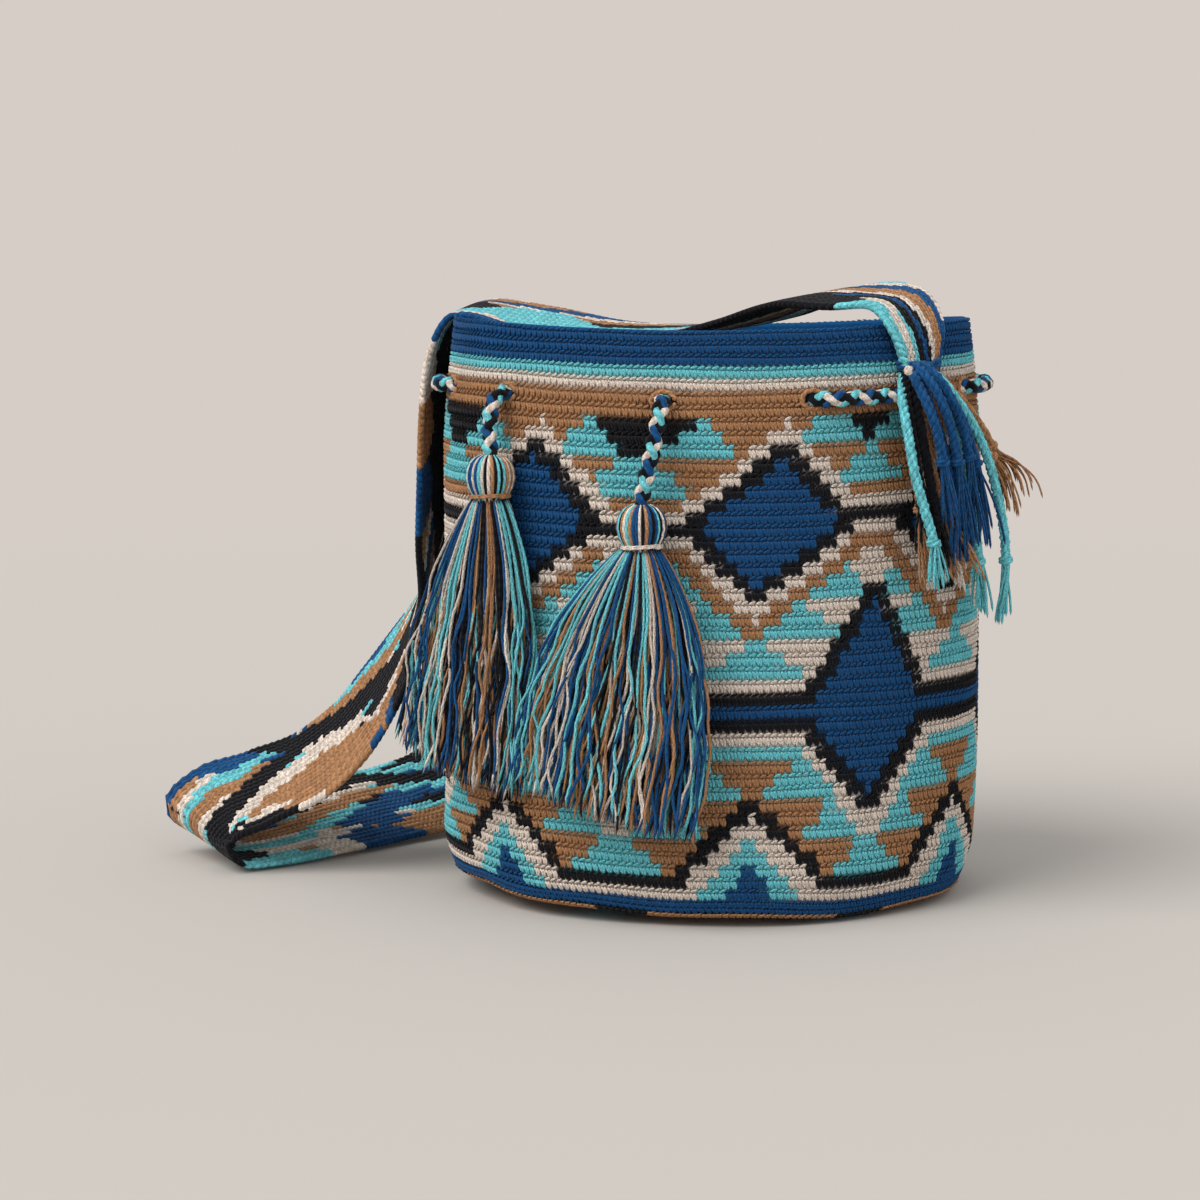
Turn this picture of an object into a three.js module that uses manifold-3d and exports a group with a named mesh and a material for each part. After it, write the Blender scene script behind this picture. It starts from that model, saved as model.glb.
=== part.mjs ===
// A crocheted mochila bag: an oval bucket of tapestry crochet with a woven shoulder strap and a laced,
// tasselled drawstring. Millimetres, +Z up, origin at the centre of the base's underside.
// The photo's front is -Y. Angles round the bag start at the front and grow towards +X.
import * as THREE from "three";
import { mergeVertices } from "three/addons/utils/BufferGeometryUtils.js";
import Module from "manifold-3d";

const wasm = await Module();
wasm.setup();

// Bag body
const bagWidth = 250;
const bagDepth = 206;
const bagHeight = 272;
const wallThickness = 4;
const baseThickness = 5;
const courseCount = 46;
const courseRidge = 0.9;
const mouthDip = 5;
const mouthTuck = 0.045;
const mouthTuckHeight = 62;
const baseTuck = 0.065;
const baseTuckHeight = 30;
const baseLobe = 1.6;
const bagSegments = 36;
const innerSteps = 10;

// Drawstring and its eyelets
const cordDiameter = 6.4;
const eyeletDrop = 31;
const eyeletWidth = 21;
const eyeletHeight = 9.4;
const eyeletAngles = [-48, -10, 21, 48, 68, 98, 130, 162, 194, 226, 258, 286];
const cordCrossing = 22;
const cordGapOutside = 0.7;
const cordGapInside = 1;

// Shoulder strap
const strapWidth = 70;
const strapThickness = 4.6;
const strapRibs = 6;
const strapRibDepth = 0.5;
const strapSteps = 66;
const gatherWidth = 24;
const gatherThickness = 8;
const fringeDiameter = 5;
const fringeLength = 105;
const rightEndAngle = 46.5;
const leftEndAngle = 226.5;
const endDrop = 25;
const gatherGap = 0.7;
const rimArch = 7;
const rearStandOff = 22;
const stitchDiameter = 2.4;
const stitchRise = 7;

// Tassels
const leftTasselDrop = 79;
const rightTasselDrop = 98;
const tasselHeadRadius = 11;
const tasselHeadHeight = 20;
const tasselNeckRadius = 8;
const bindingHeight = 4;
const bindingThickness = 1.3;
const skirtLength = 128;
const skirtHalfWidth = 36;
const skirtHalfDepth = 9;
const tasselFlutes = 16;
const fluteDepth = 1.1;
const socketDepth = 13;

// Free space between touching pieces
const clearance = 0.3;

const halfWidth = bagWidth / 2;
const halfDepth = bagDepth / 2;
const halfWall = wallThickness / 2;
const cordRadius = cordDiameter / 2;
const courseHeight = bagHeight / courseCount;
const wallOutside = halfWall + courseRidge;

const fabric = {
  blue: new THREE.MeshStandardMaterial({ color: 0x264678, roughness: 0.9, metalness: 0 }),
  braid: new THREE.MeshStandardMaterial({ color: 0x8a7f78, roughness: 0.85, metalness: 0 }),
  strap: new THREE.MeshStandardMaterial({ color: 0xa0734b, roughness: 0.9, metalness: 0 }),
  turquoise: new THREE.MeshStandardMaterial({ color: 0x5cbec3, roughness: 0.85, metalness: 0 }),
  tan: new THREE.MeshStandardMaterial({ color: 0xa0734b, roughness: 0.85, metalness: 0 }),
  cream: new THREE.MeshStandardMaterial({ color: 0xd6c8bc, roughness: 0.85, metalness: 0 }),
};

const radians = THREE.MathUtils.degToRad;
const smooth = THREE.MathUtils.smoothstep;

// The wall's middle surface at a height, as a share of the bag's full half width and half depth.
function girth(z) {
  const base = Math.max(0, 1 - z / baseTuckHeight);
  const mouth = Math.max(0, (z - bagHeight + mouthTuckHeight) / mouthTuckHeight);
  return 1 - baseTuck * base ** 2 - mouthTuck * mouth ** 1.4;
}

// How far the soft mouth hangs down at the front and the back, where nothing holds it up.
function dip(angle, z) {
  return mouthDip * Math.cos(angle) ** 2 * smooth(z, bagHeight * 0.4, bagHeight * 0.82);
}

// The soft lobes of the lower wall, where the bag sags on its base.
function lobe(angle, z) {
  const fade = 1 - smooth(z, 0, bagHeight * 0.3);
  return baseLobe * fade * (Math.sin(3 * angle + 0.7) + 0.6 * Math.sin(7 * angle));
}

function outward(angle) {
  return new THREE.Vector3(Math.sin(angle) / halfWidth, -Math.cos(angle) / halfDepth, 0).normalize();
}

function along(angle) {
  return new THREE.Vector3(Math.cos(angle) * halfWidth, Math.sin(angle) * halfDepth, 0).normalize();
}

// A point at a distance from the wall's middle surface, in degrees round the bag.
function byWall(degrees, z, distance) {
  const angle = radians(degrees);
  const scale = girth(z);
  const wall = new THREE.Vector3(
    Math.sin(angle) * halfWidth * scale,
    -Math.cos(angle) * halfDepth * scale,
    z - dip(angle, z),
  );
  return wall.addScaledVector(outward(angle), distance + lobe(angle, z));
}

// The turn round the bag, in degrees, that a length along its wall takes.
function degreesFor(length, degrees) {
  const angle = radians(degrees);
  const reach = Math.hypot(Math.cos(angle) * halfWidth, Math.sin(angle) * halfDepth);
  return THREE.MathUtils.radToDeg(length / reach);
}

// The outline of the bag's section: ridged courses outside, a smooth wall and floor inside.
function bagProfile() {
  const edge = halfWidth * girth(0) - halfWall;
  const points = [new THREE.Vector2(0, 0), new THREE.Vector2(edge, 0)];
  for (let course = 0; course < courseCount; course += 1) {
    const crest = (course + 0.55) * courseHeight;
    const groove = (course + 1) * courseHeight;
    points.push(new THREE.Vector2(halfWidth * girth(crest) + wallOutside, crest));
    if (course < courseCount - 1) {
      points.push(new THREE.Vector2(halfWidth * girth(groove) + halfWall, groove));
    }
  }
  points.push(new THREE.Vector2(halfWidth * girth(bagHeight), bagHeight));
  for (let step = 0; step <= innerSteps; step += 1) {
    const share = (1 - step / innerSteps) ** 1.3;
    const z = baseThickness + (bagHeight - courseHeight * 0.45 - baseThickness) * share;
    points.push(new THREE.Vector2(halfWidth * girth(z) - halfWall, z));
  }
  points.push(new THREE.Vector2(0, baseThickness));
  return points;
}

// Bends a round lathed body to the oval, dipped and lobed form of the bag.
function makeOval(geometry) {
  const position = geometry.getAttribute("position");
  const innerEdge = 10;
  for (let i = 0; i < position.count; i += 1) {
    const radius = Math.hypot(position.getX(i), position.getZ(i));
    const angle = Math.atan2(position.getX(i), position.getZ(i));
    const z = position.getY(i);
    const distance = radius - halfWidth * girth(z);
    const kept = Math.max(distance, -innerEdge);
    const reach = radius / (halfWidth * girth(z) + kept);
    const point = byWall(THREE.MathUtils.radToDeg(angle), z, kept);
    position.setXYZ(i, point.x * reach, point.y * reach, point.z);
  }
  return geometry;
}

function toSolid(geometry) {
  geometry.deleteAttribute("normal");
  geometry.deleteAttribute("uv");
  const merged = mergeVertices(geometry, 1e-4);
  const corners = merged.index.array;
  const triVerts = [];
  for (let i = 0; i < corners.length; i += 3) {
    const [a, b, c] = [corners[i], corners[i + 1], corners[i + 2]];
    if (a !== b && b !== c && c !== a) {
      triVerts.push(a, b, c);
    }
  }
  return new wasm.Manifold(
    new wasm.Mesh({
      numProp: 3,
      vertProperties: new Float32Array(merged.getAttribute("position").array),
      triVerts: new Uint32Array(triVerts),
    }),
  );
}

function fromSolid(solid) {
  const mesh = solid.getMesh();
  const geometry = new THREE.BufferGeometry();
  geometry.setAttribute("position", new THREE.BufferAttribute(mesh.vertProperties, 3));
  geometry.setIndex(new THREE.BufferAttribute(mesh.triVerts, 1));
  geometry.computeVertexNormals();
  return geometry;
}

// An oval tool that opens one eyelet through the wall.
function eyeletTool(degrees) {
  const angle = radians(degrees);
  const tool = new THREE.CylinderGeometry(1, 1, 4 * wallOutside, 10);
  tool.scale(eyeletWidth / 2, 1, eyeletHeight / 2);
  const place = new THREE.Matrix4().makeBasis(
    along(angle),
    outward(angle).negate(),
    new THREE.Vector3(0, 0, 1),
  );
  place.setPosition(byWall(degrees, bagHeight - eyeletDrop, 0));
  return tool.applyMatrix4(place);
}

function bagBody() {
  const lathed = new THREE.LatheGeometry(bagProfile(), bagSegments);
  let body = toSolid(makeOval(lathed));
  for (const degrees of eyeletAngles) {
    body = body.subtract(toSolid(eyeletTool(degrees)));
  }
  return fromSolid(body);
}

// A curve whose steps fall on its own points, so that a tube along it has a ring at each of them.
class PointedCurve extends THREE.CatmullRomCurve3 {
  getPointAt(u, target) {
    return this.getPoint(u, target);
  }

  getTangentAt(u, target) {
    return this.getTangent(u, target);
  }

  getSpacedPoints(divisions) {
    return this.getPoints(divisions);
  }
}

function tube(points, radius, sides, stepsPerPoint = 1) {
  const section = new THREE.Shape();
  for (let side = 0; side < sides; side += 1) {
    const turn = (side / sides) * 2 * Math.PI;
    const corner = [radius * Math.cos(turn), radius * Math.sin(turn)];
    if (side === 0) {
      section.moveTo(...corner);
    } else {
      section.lineTo(...corner);
    }
  }
  section.closePath();
  const path = new PointedCurve(points, false, "centripetal");
  return new THREE.ExtrudeGeometry(section, {
    steps: (points.length - 1) * stepsPerPoint,
    extrudePath: path,
    bevelEnabled: false,
  });
}

const eyeletHeightAt = bagHeight - eyeletDrop;
const cordOutside = wallOutside + cordRadius + cordGapOutside;
const cordInside = -(halfWall + cordRadius + cordGapInside);

const leftNeckHeight = bagHeight - leftTasselDrop;
const rightNeckHeight = bagHeight - rightTasselDrop;

const leftTassel = {
  name: "tassel_left",
  neck: byWall(-46, leftNeckHeight, wallOutside + tasselHeadRadius + clearance),
  foot: byWall(-57, leftNeckHeight - skirtLength, wallOutside + skirtHalfDepth + 2),
  across: new THREE.Vector3(0.86, -0.5, 0),
  halfWidth: skirtHalfWidth,
};

const rightTassel = {
  name: "tassel_right",
  neck: byWall(-13, rightNeckHeight, wallOutside + tasselHeadRadius + clearance),
  foot: byWall(-21, rightNeckHeight - skirtLength, wallOutside + skirtHalfDepth),
  across: new THREE.Vector3(0.96, -0.28, 0),
  halfWidth: skirtHalfWidth * 1.15,
};

function tasselTop(tassel) {
  return tassel.neck.clone().add(new THREE.Vector3(0, 0, tasselHeadHeight));
}

// The cord's end, from the eyelet that it comes out of down into its tassel's head.
function hangingEnd(degrees, tassel) {
  const top = tasselTop(tassel);
  const out = byWall(degrees, eyeletHeightAt, cordOutside + 1);
  const bend = out.clone().add(new THREE.Vector3(0, 0, -5)).addScaledVector(outward(radians(degrees)), 3.4);
  const low = bend.clone().lerp(top, 0.5).addScaledVector(outward(radians(degrees)), 1);
  return [
    byWall(degrees, eyeletHeightAt, cordInside + 2.5),
    byWall(degrees, eyeletHeightAt, 0),
    byWall(degrees, eyeletHeightAt, halfWall + 1.6),
    out.add(new THREE.Vector3(0, 0, -1.2)),
    bend,
    low,
    top.clone().add(new THREE.Vector3(0, 0, 2)),
    top.add(new THREE.Vector3(0, 0, -socketDepth + 1.5)),
  ];
}

// The laced cord: out of the first eyelet, and in and out of the others by turns, all round the bag.
function drawstringPoints() {
  const points = hangingEnd(eyeletAngles[1], rightTassel).reverse();
  const slope = [-0.5, -0.25, 0, 0.25, 0.5];
  const hole = eyeletAngles.slice(2);
  const start = (eyeletAngles[1] + hole[0]) / 2;
  points.push(byWall(eyeletAngles[1] + 5, eyeletHeightAt, cordInside));
  points.push(byWall(start, eyeletHeightAt, cordInside));
  hole.forEach((degrees, i) => {
    const goesOut = i % 2 === 0;
    for (const share of slope) {
      const rise = Math.sin(share * Math.PI) * (goesOut ? 1 : -1);
      const distance = (cordOutside + cordInside) / 2 + (rise * (cordOutside - cordInside)) / 2;
      const turn = degreesFor(share * cordCrossing, degrees);
      points.push(byWall(degrees + turn, eyeletHeightAt, distance));
    }
    const next = i + 1 < hole.length ? hole[i + 1] : eyeletAngles[0] + 360;
    points.push(byWall((degrees + next) / 2, eyeletHeightAt, goesOut ? cordOutside : cordInside));
  });
  points.push(byWall(eyeletAngles[0] - 5, eyeletHeightAt, cordInside));
  points.push(...hangingEnd(eyeletAngles[0], leftTassel));
  return points;
}

// Moves a point of a piece that leans on the bag out of the wall.
function keepOutside(point, distance) {
  const scale = girth(Math.max(point.z, 0));
  const reachX = halfWidth * scale + distance;
  const reachY = halfDepth * scale + distance;
  const reach = Math.hypot(point.x / reachX, point.y / reachY);
  if (reach < 1) {
    point.x /= reach;
    point.y /= reach;
  }
  return point;
}

// A tassel: a round head of folded yarn, a bound neck and a fluted skirt that spreads over the wall.
function tasselSolid(tassel) {
  const rings = [];
  const sides = tasselFlutes * 2;
  const headRings = [
    [1, 0.3],
    [0.93, 0.72],
    [0.7, 1],
    [0.45, 0.98],
    [0.28, 0.86],
    [0.2, tasselNeckRadius / tasselHeadRadius],
    [0, tasselNeckRadius / tasselHeadRadius],
  ];
  for (const [height, width] of headRings) {
    rings.push({
      centre: tassel.neck.clone().add(new THREE.Vector3(0, 0, height * tasselHeadHeight)),
      half: new THREE.Vector2(width * tasselHeadRadius, width * tasselHeadRadius),
      flute: height > 0.25 && height < 1 ? fluteDepth * 0.5 : 0,
    });
  }
  const skirtRings = 9;
  for (let ring = 1; ring <= skirtRings; ring += 1) {
    const share = ring / skirtRings;
    const spread = 1 - (1 - share) ** 2;
    const centre = tassel.neck.clone().lerp(tassel.foot, share);
    centre.z = tassel.neck.z - skirtLength * share;
    rings.push({
      centre,
      half: new THREE.Vector2(
        THREE.MathUtils.lerp(tasselNeckRadius + 1, tassel.halfWidth, spread),
        THREE.MathUtils.lerp(tasselNeckRadius, skirtHalfDepth, share),
      ),
      flute: fluteDepth,
    });
  }
  const across = tassel.across.clone().normalize();
  const deep = new THREE.Vector3(0, 0, 1).cross(across).normalize();
  const vertices = [];
  for (const { centre, half, flute } of rings) {
    for (let side = 0; side < sides; side += 1) {
      const turn = (side / sides) * 2 * Math.PI;
      const swell = (side % 2 === 0 ? 1 : -1) * flute * 0.5;
      const point = centre
        .clone()
        .addScaledVector(across, Math.cos(turn) * (half.x + swell))
        .addScaledVector(deep, Math.sin(turn) * (half.y + swell));
      vertices.push(keepOutside(point, wallOutside + clearance + (side % 2) * fluteDepth * 0.4));
    }
  }
  return ringSolid(vertices, rings.length, sides);
}

// A closed geometry over rings of points, with a fan over the first ring and one under the last.
function ringSolid(vertices, ringCount, sides) {
  const points = vertices.slice();
  const middle = (ring) => {
    const sum = new THREE.Vector3();
    for (let side = 0; side < sides; side += 1) {
      sum.add(vertices[ring * sides + side]);
    }
    return sum.divideScalar(sides);
  };
  const top = points.push(middle(0)) - 1;
  const bottom = points.push(middle(ringCount - 1)) - 1;
  const index = [];
  for (let side = 0; side < sides; side += 1) {
    const next = (side + 1) % sides;
    const last = (ringCount - 1) * sides;
    index.push(top, side, next);
    index.push(bottom, last + next, last + side);
    for (let ring = 0; ring < ringCount - 1; ring += 1) {
      const [a, b] = [ring * sides + side, ring * sides + next];
      index.push(a, a + sides, b);
      index.push(b, a + sides, b + sides);
    }
  }
  const geometry = new THREE.BufferGeometry().setFromPoints(points);
  geometry.setIndex(index);
  return geometry;
}

// A tassel with the hole in its head that the drawstring's end is tied into.
function tasselBody(tassel) {
  const socketRadius = cordRadius + 2 * clearance;
  const socket = new THREE.CylinderGeometry(socketRadius, socketRadius, 2 * socketDepth, 10);
  socket.rotateX(Math.PI / 2);
  const top = tasselTop(tassel);
  socket.translate(top.x, top.y, top.z);
  return fromSolid(toSolid(tasselSolid(tassel)).subtract(toSolid(socket)));
}

// The yarn wound round a tassel's neck, in two turns that lie side by side.
function bindingRing(tassel) {
  const inside = tasselNeckRadius + 2 * clearance;
  const turns = 2;
  const turnHeight = bindingHeight / turns;
  const profile = [new THREE.Vector2(inside, 0)];
  for (let turn = 0; turn < turns; turn += 1) {
    profile.push(new THREE.Vector2(inside + bindingThickness, (turn + 0.5) * turnHeight));
    profile.push(new THREE.Vector2(inside + bindingThickness * 0.6, (turn + 1) * turnHeight));
  }
  profile.push(new THREE.Vector2(inside, bindingHeight));
  profile.push(profile[0].clone());
  const ring = new THREE.LatheGeometry(profile, 16);
  ring.rotateX(Math.PI / 2);
  ring.translate(tassel.neck.x, tassel.neck.y, tassel.neck.z);
  return fromSolid(toSolid(ring));
}

// How far the middle of the strap's gathered end stands off the wall's middle surface.
const endOffset = wallOutside + gatherThickness / 2 + gatherGap;
const endHeight = bagHeight - endDrop;
const rim = bagHeight + strapThickness / 2 + clearance;

function station(at, across, width = strapWidth, thickness = strapThickness) {
  const [x, y, z] = Array.isArray(at) ? at : at.toArray();
  return {
    at: new THREE.Vector3(x, y, z),
    across: new THREE.Vector3(...(Array.isArray(across) ? across : across.toArray())).normalize(),
    width,
    thickness,
  };
}

// A place left of the bag, in shares of its half width from its side, its half depth and its height.
function leftOfBag(away, back, up) {
  return [-halfWidth * (1 + away), halfDepth * back, bagHeight * up];
}

// The strap's way: up from its right end, over the mouth, down the left side, out on the floor, back round
// its fold, and up behind the bag to its left end.
function strapStations() {
  const rightWall = (z, distance) => byWall(rightEndAngle, z, distance);
  const leftWall = (z, distance) => byWall(leftEndAngle, z, distance);
  const rightAlong = along(radians(rightEndAngle));
  const leftAlong = along(radians(leftEndAngle));
  const side = -halfWidth;
  return [
    station(rightWall(endHeight, endOffset), rightAlong, gatherWidth, gatherThickness),
    station(rightWall(bagHeight - 13, endOffset + 0.5), rightAlong, gatherWidth + 7, strapThickness + 1.5),
    station(rightWall(bagHeight - 3, endOffset), rightAlong, gatherWidth + 14),
    station([halfWidth * 0.68, -halfDepth * 0.64, rim + rimArch * 0.5], [0.6, 0.78, 0.1], strapWidth * 0.68),
    station([halfWidth * 0.56, -halfDepth * 0.5, rim + rimArch], [0.55, 0.8, 0.16], strapWidth * 0.86),
    station([halfWidth * 0.4, -halfDepth * 0.3, rim + rimArch], [0.6, 0.8, 0.1]),
    station([halfWidth * 0.18, -halfDepth * 0.08, rim + rimArch * 0.43], [0.6, 0.8, 0]),
    station([-halfWidth * 0.08, halfDepth * 0.12, rim], [0.45, 0.9, 0]),
    station([-halfWidth * 0.4, halfDepth * 0.27, rim], [0.3, 0.95, 0]),
    station([-halfWidth * 0.68, halfDepth * 0.35, rim + 0.5], [0.15, 0.98, 0]),
    station([-halfWidth * 0.9, halfDepth * 0.38, rim + 1], [0.08, 1, 0]),
    station([side + 4, halfDepth * 0.39, rim - 1.1], [0.05, 1, 0]),
    station([side - 1.6, halfDepth * 0.39, rim - 7], [0.05, 1, 0]),
    station([side - 6.5, halfDepth * 0.39, bagHeight - 20], [0.1, 1, 0]),
    station(leftOfBag(0.068, 0.3883, 0.8272), [0.14, 0.99, 0]),
    station(leftOfBag(0.08, 0.3981, 0.6985), [0.14, 0.99, 0]),
    station(leftOfBag(0.1, 0.4078, 0.5882), [0.1, 0.99, 0.04]),
    station(leftOfBag(0.144, 0.3981, 0.4853), [-0.06, 0.98, 0.12]),
    station(leftOfBag(0.224, 0.3981, 0.3934), [-0.22, 0.95, 0.18]),
    station(leftOfBag(0.328, 0.4078, 0.3125), [-0.3, 0.92, 0.2]),
    station(leftOfBag(0.448, 0.4272, 0.239), [-0.34, 0.9, 0.2]),
    station(leftOfBag(0.608, 0.466, 0.1801), [-0.42, 0.88, 0.2]),
    station(leftOfBag(0.808, 0.4757, 0.1379), [-0.5, 0.82, 0.24]),
    station(leftOfBag(0.968, 0.466, 0.1085), [-0.56, 0.78, 0.26]),
    station(leftOfBag(1.04, 0.4466, 0.0754), [-0.58, 0.76, 0.24]),
    station(leftOfBag(1.008, 0.4757, 0.0434), [-0.62, 0.74, 0.2]),
    station(leftOfBag(0.896, 0.5728, 0.036), [-0.68, 0.7, 0.2]),
    station(leftOfBag(0.688, 0.8155, 0.0452), [-0.71, 0.65, 0.26]),
    station(leftOfBag(0.448, 1.165, 0.0551), [-0.73, 0.6, 0.33]),
    station(leftOfBag(0.24, 1.4272, 0.0625), [-0.78, 0.55, 0.3]),
    station(leftOfBag(0.056, 1.5922, 0.0993), [-0.8, 0.55, 0.2]),
    station(leftOfBag(-0.096, 1.5922, 0.2059), [-0.86, 0.48, 0.08]),
    station(leftOfBag(-0.192, 1.4369, 0.3603), [-0.96, 0.25, 0]),
    station(leftOfBag(-0.224, 1.2427, 0.5331), [-1, -0.1, 0]),
    station(leftOfBag(-0.224, 1.0583, 0.6985), [-0.92, -0.4, 0]),
    station(leftWall(bagHeight * 0.838, wallOutside + rearStandOff), leftAlong, strapWidth * 0.86),
    station(leftWall(bagHeight * 0.926, wallOutside + rearStandOff * 0.93), leftAlong, strapWidth * 0.74),
    station(leftWall(bagHeight - 4, wallOutside + rearStandOff * 0.8), leftAlong, strapWidth * 0.62),
    station(leftWall(bagHeight + 4, wallOutside + rearStandOff * 0.5), leftAlong, strapWidth * 0.56),
    station(leftWall(bagHeight - 3, endOffset), leftAlong, gatherWidth + 14),
    station(leftWall(bagHeight - 13, endOffset + 0.5), leftAlong, gatherWidth + 7, strapThickness + 1.5),
    station(leftWall(endHeight, endOffset), leftAlong, gatherWidth, gatherThickness),
  ];
}

// One row of a band's section: its two faces, ribbed lengthwise, point by point from edge to edge.
function ribRow(count) {
  const row = [];
  for (let i = 0; i <= count * 2; i += 1) {
    const edge = i === 0 || i === count * 2;
    row.push({ share: i / (count * 2) - 0.5, inset: edge ? 1.1 : i % 2 === 0 ? strapRibDepth : 0 });
  }
  return row;
}

// The woven band, lofted through its stations with its section turned to lie across its way.
function strapBand(stations, steps) {
  const centre = new THREE.CatmullRomCurve3(stations.map((s) => s.at), false, "centripetal");
  const lean = new THREE.CatmullRomCurve3(stations.map((s) => s.across));
  const size = new THREE.CatmullRomCurve3(
    stations.map((s) => new THREE.Vector3(s.width, s.thickness, 0)),
  );
  const row = ribRow(strapRibs);
  const ringSize = row.length * 2;
  const points = [];
  for (let step = 0; step <= steps; step += 1) {
    const u = step / steps;
    const at = centre.getPoint(u);
    const tangent = centre.getTangent(u);
    const across = lean.getPoint(u);
    across.addScaledVector(tangent, -across.dot(tangent)).normalize();
    const face = new THREE.Vector3().crossVectors(tangent, across).normalize();
    const { x: width, y: thickness } = size.getPoint(u);
    for (const side of [1, -1]) {
      const ordered = side === 1 ? row : row.slice().reverse();
      for (const { share, inset } of ordered) {
        points.push(
          at
            .clone()
            .addScaledVector(across, share * width)
            .addScaledVector(face, side * (thickness / 2 - inset)),
        );
      }
    }
  }
  const index = [];
  for (let step = 0; step < steps; step += 1) {
    for (let i = 0; i < ringSize; i += 1) {
      const [a, b] = [step * ringSize + i, step * ringSize + ((i + 1) % ringSize)];
      index.push(a, a + ringSize, b);
      index.push(b, a + ringSize, b + ringSize);
    }
  }
  const last = steps * ringSize;
  for (let i = 0; i < row.length - 1; i += 1) {
    const [a, b, c, d] = [i, i + 1, ringSize - 2 - i, ringSize - 1 - i];
    index.push(a, b, c, a, c, d);
    index.push(last + a, last + c, last + b, last + a, last + d, last + c);
  }
  const geometry = new THREE.BufferGeometry().setFromPoints(points);
  geometry.setIndex(index);
  return geometry;
}

// The fringe of one end: the band's own twisted cords, which spread as they hang down.
const fringeCords = [
  { lean: -0.14, length: 0.86 },
  { lean: 0.02, length: 0.62 },
  { lean: 0.17, length: 0.74 },
  { lean: 0.3, length: 0.9 },
  { lean: 0.46, length: 1 },
  { lean: 0.6, length: 0.7 },
];

function fringe(endDegrees) {
  const angle = radians(endDegrees);
  const spread = gatherWidth - fringeDiameter;
  return fringeCords.map(({ lean, length }, i) => {
    const start = byWall(endDegrees, endHeight, endOffset)
      .addScaledVector(along(angle), spread * (i / (fringeCords.length - 1) - 0.5));
    const out = outward(angle);
    const fall = (drop, away) =>
      start
        .clone()
        .addScaledVector(out, away + (i % 2) * 1.5)
        .addScaledVector(along(angle), lean * drop * 0.9)
        .add(new THREE.Vector3(0, 0, -drop));
    const reach = fringeLength * length;
    const points = [
      start.clone().add(new THREE.Vector3(0, 0, 6)),
      fall(1, 3.5),
      fall(6, 9),
      fall(18, 11.5),
      fall(reach * 0.45, 9),
      fall(reach * 0.72, 7),
      fall(reach, 5),
    ];
    return tube(points, fringeDiameter / 2, 6);
  });
}

function strapBody() {
  let strap = toSolid(strapBand(strapStations(), strapSteps));
  for (const cord of [...fringe(rightEndAngle), ...fringe(leftEndAngle)]) {
    strap = strap.add(toSolid(cord));
  }
  return fromSolid(strap);
}

// The sewing yarn of one end: it lies across the gathered cords and goes down to the wall on both sides.
function endStitch(endDegrees) {
  const radius = stitchDiameter / 2;
  const height = endHeight + stitchRise;
  const half = gatherWidth / 2 + 3 + radius + clearance;
  const high = endOffset + gatherThickness / 2 + clearance * 2 + radius;
  const low = halfWall + radius;
  const point = (share, distance) =>
    byWall(endDegrees + degreesFor(share * half, endDegrees), height, distance);
  const points = [
    point(-1.12, low),
    point(-1.1, (low + high) / 2),
    point(-0.96, high),
    point(0, high + 0.5),
    point(0.96, high),
    point(1.1, (low + high) / 2),
    point(1.12, low),
  ];
  return fromSolid(toSolid(tube(points, radius, 6, 2)));
}

const group = new THREE.Group();

function addNode(name, geometry, material) {
  const mesh = new THREE.Mesh(geometry, material);
  mesh.name = name;
  group.add(mesh);
}

addNode("bag_body", bagBody(), fabric.blue);
addNode("shoulder_strap", strapBody(), fabric.strap);
addNode("drawstring", fromSolid(toSolid(tube(drawstringPoints(), cordRadius, 8))), fabric.braid);
addNode("strap_stitch_right", endStitch(rightEndAngle), fabric.cream);
addNode("strap_stitch_left", endStitch(leftEndAngle), fabric.cream);
for (const tassel of [leftTassel, rightTassel]) {
  addNode(tassel.name, tasselBody(tassel), fabric.turquoise);
}
addNode("tassel_left_binding", bindingRing(leftTassel), fabric.tan);
addNode("tassel_right_binding", bindingRing(rightTassel), fabric.cream);

export default group;
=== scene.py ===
"""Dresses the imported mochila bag: crochet stitches, a twined strap, a braided drawstring and yarn tassels."""

import logging
import math
from dataclasses import dataclass, field
from enum import Enum

import bpy
import numpy as np
from mathutils import Matrix, Vector


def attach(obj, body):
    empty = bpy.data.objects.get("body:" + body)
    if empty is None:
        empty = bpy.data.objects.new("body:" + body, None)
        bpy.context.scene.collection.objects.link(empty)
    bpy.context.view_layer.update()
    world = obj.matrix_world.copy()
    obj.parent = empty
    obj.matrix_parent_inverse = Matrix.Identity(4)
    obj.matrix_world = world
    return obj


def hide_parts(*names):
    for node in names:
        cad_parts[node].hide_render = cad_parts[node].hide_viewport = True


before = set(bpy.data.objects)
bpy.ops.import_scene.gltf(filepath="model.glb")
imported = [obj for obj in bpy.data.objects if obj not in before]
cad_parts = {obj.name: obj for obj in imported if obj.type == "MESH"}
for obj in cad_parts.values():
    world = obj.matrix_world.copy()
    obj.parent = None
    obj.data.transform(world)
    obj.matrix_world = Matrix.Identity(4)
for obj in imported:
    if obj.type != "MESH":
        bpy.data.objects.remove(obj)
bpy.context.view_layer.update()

log = logging.getLogger("mochila")
BODY = "root"
MM = 0.001
Number = float | np.ndarray
Chance = np.random.Generator


class Yarn(Enum):
    """The five cotton yarns, as linear colours."""

    BLUE = (0.006, 0.072, 0.215)
    TURQUOISE = (0.150, 0.560, 0.630)
    CREAM = (0.720, 0.630, 0.560)
    TAN = (0.395, 0.200, 0.094)
    BLACK = (0.0045, 0.0045, 0.0080)


class Axis(Enum):
    """The kinds of upright line that the motifs are drawn about."""

    DIAMOND = "diamond"
    TRIANGLE = "triangle"
    SMALL_TRIANGLE = "small_triangle"


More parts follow.
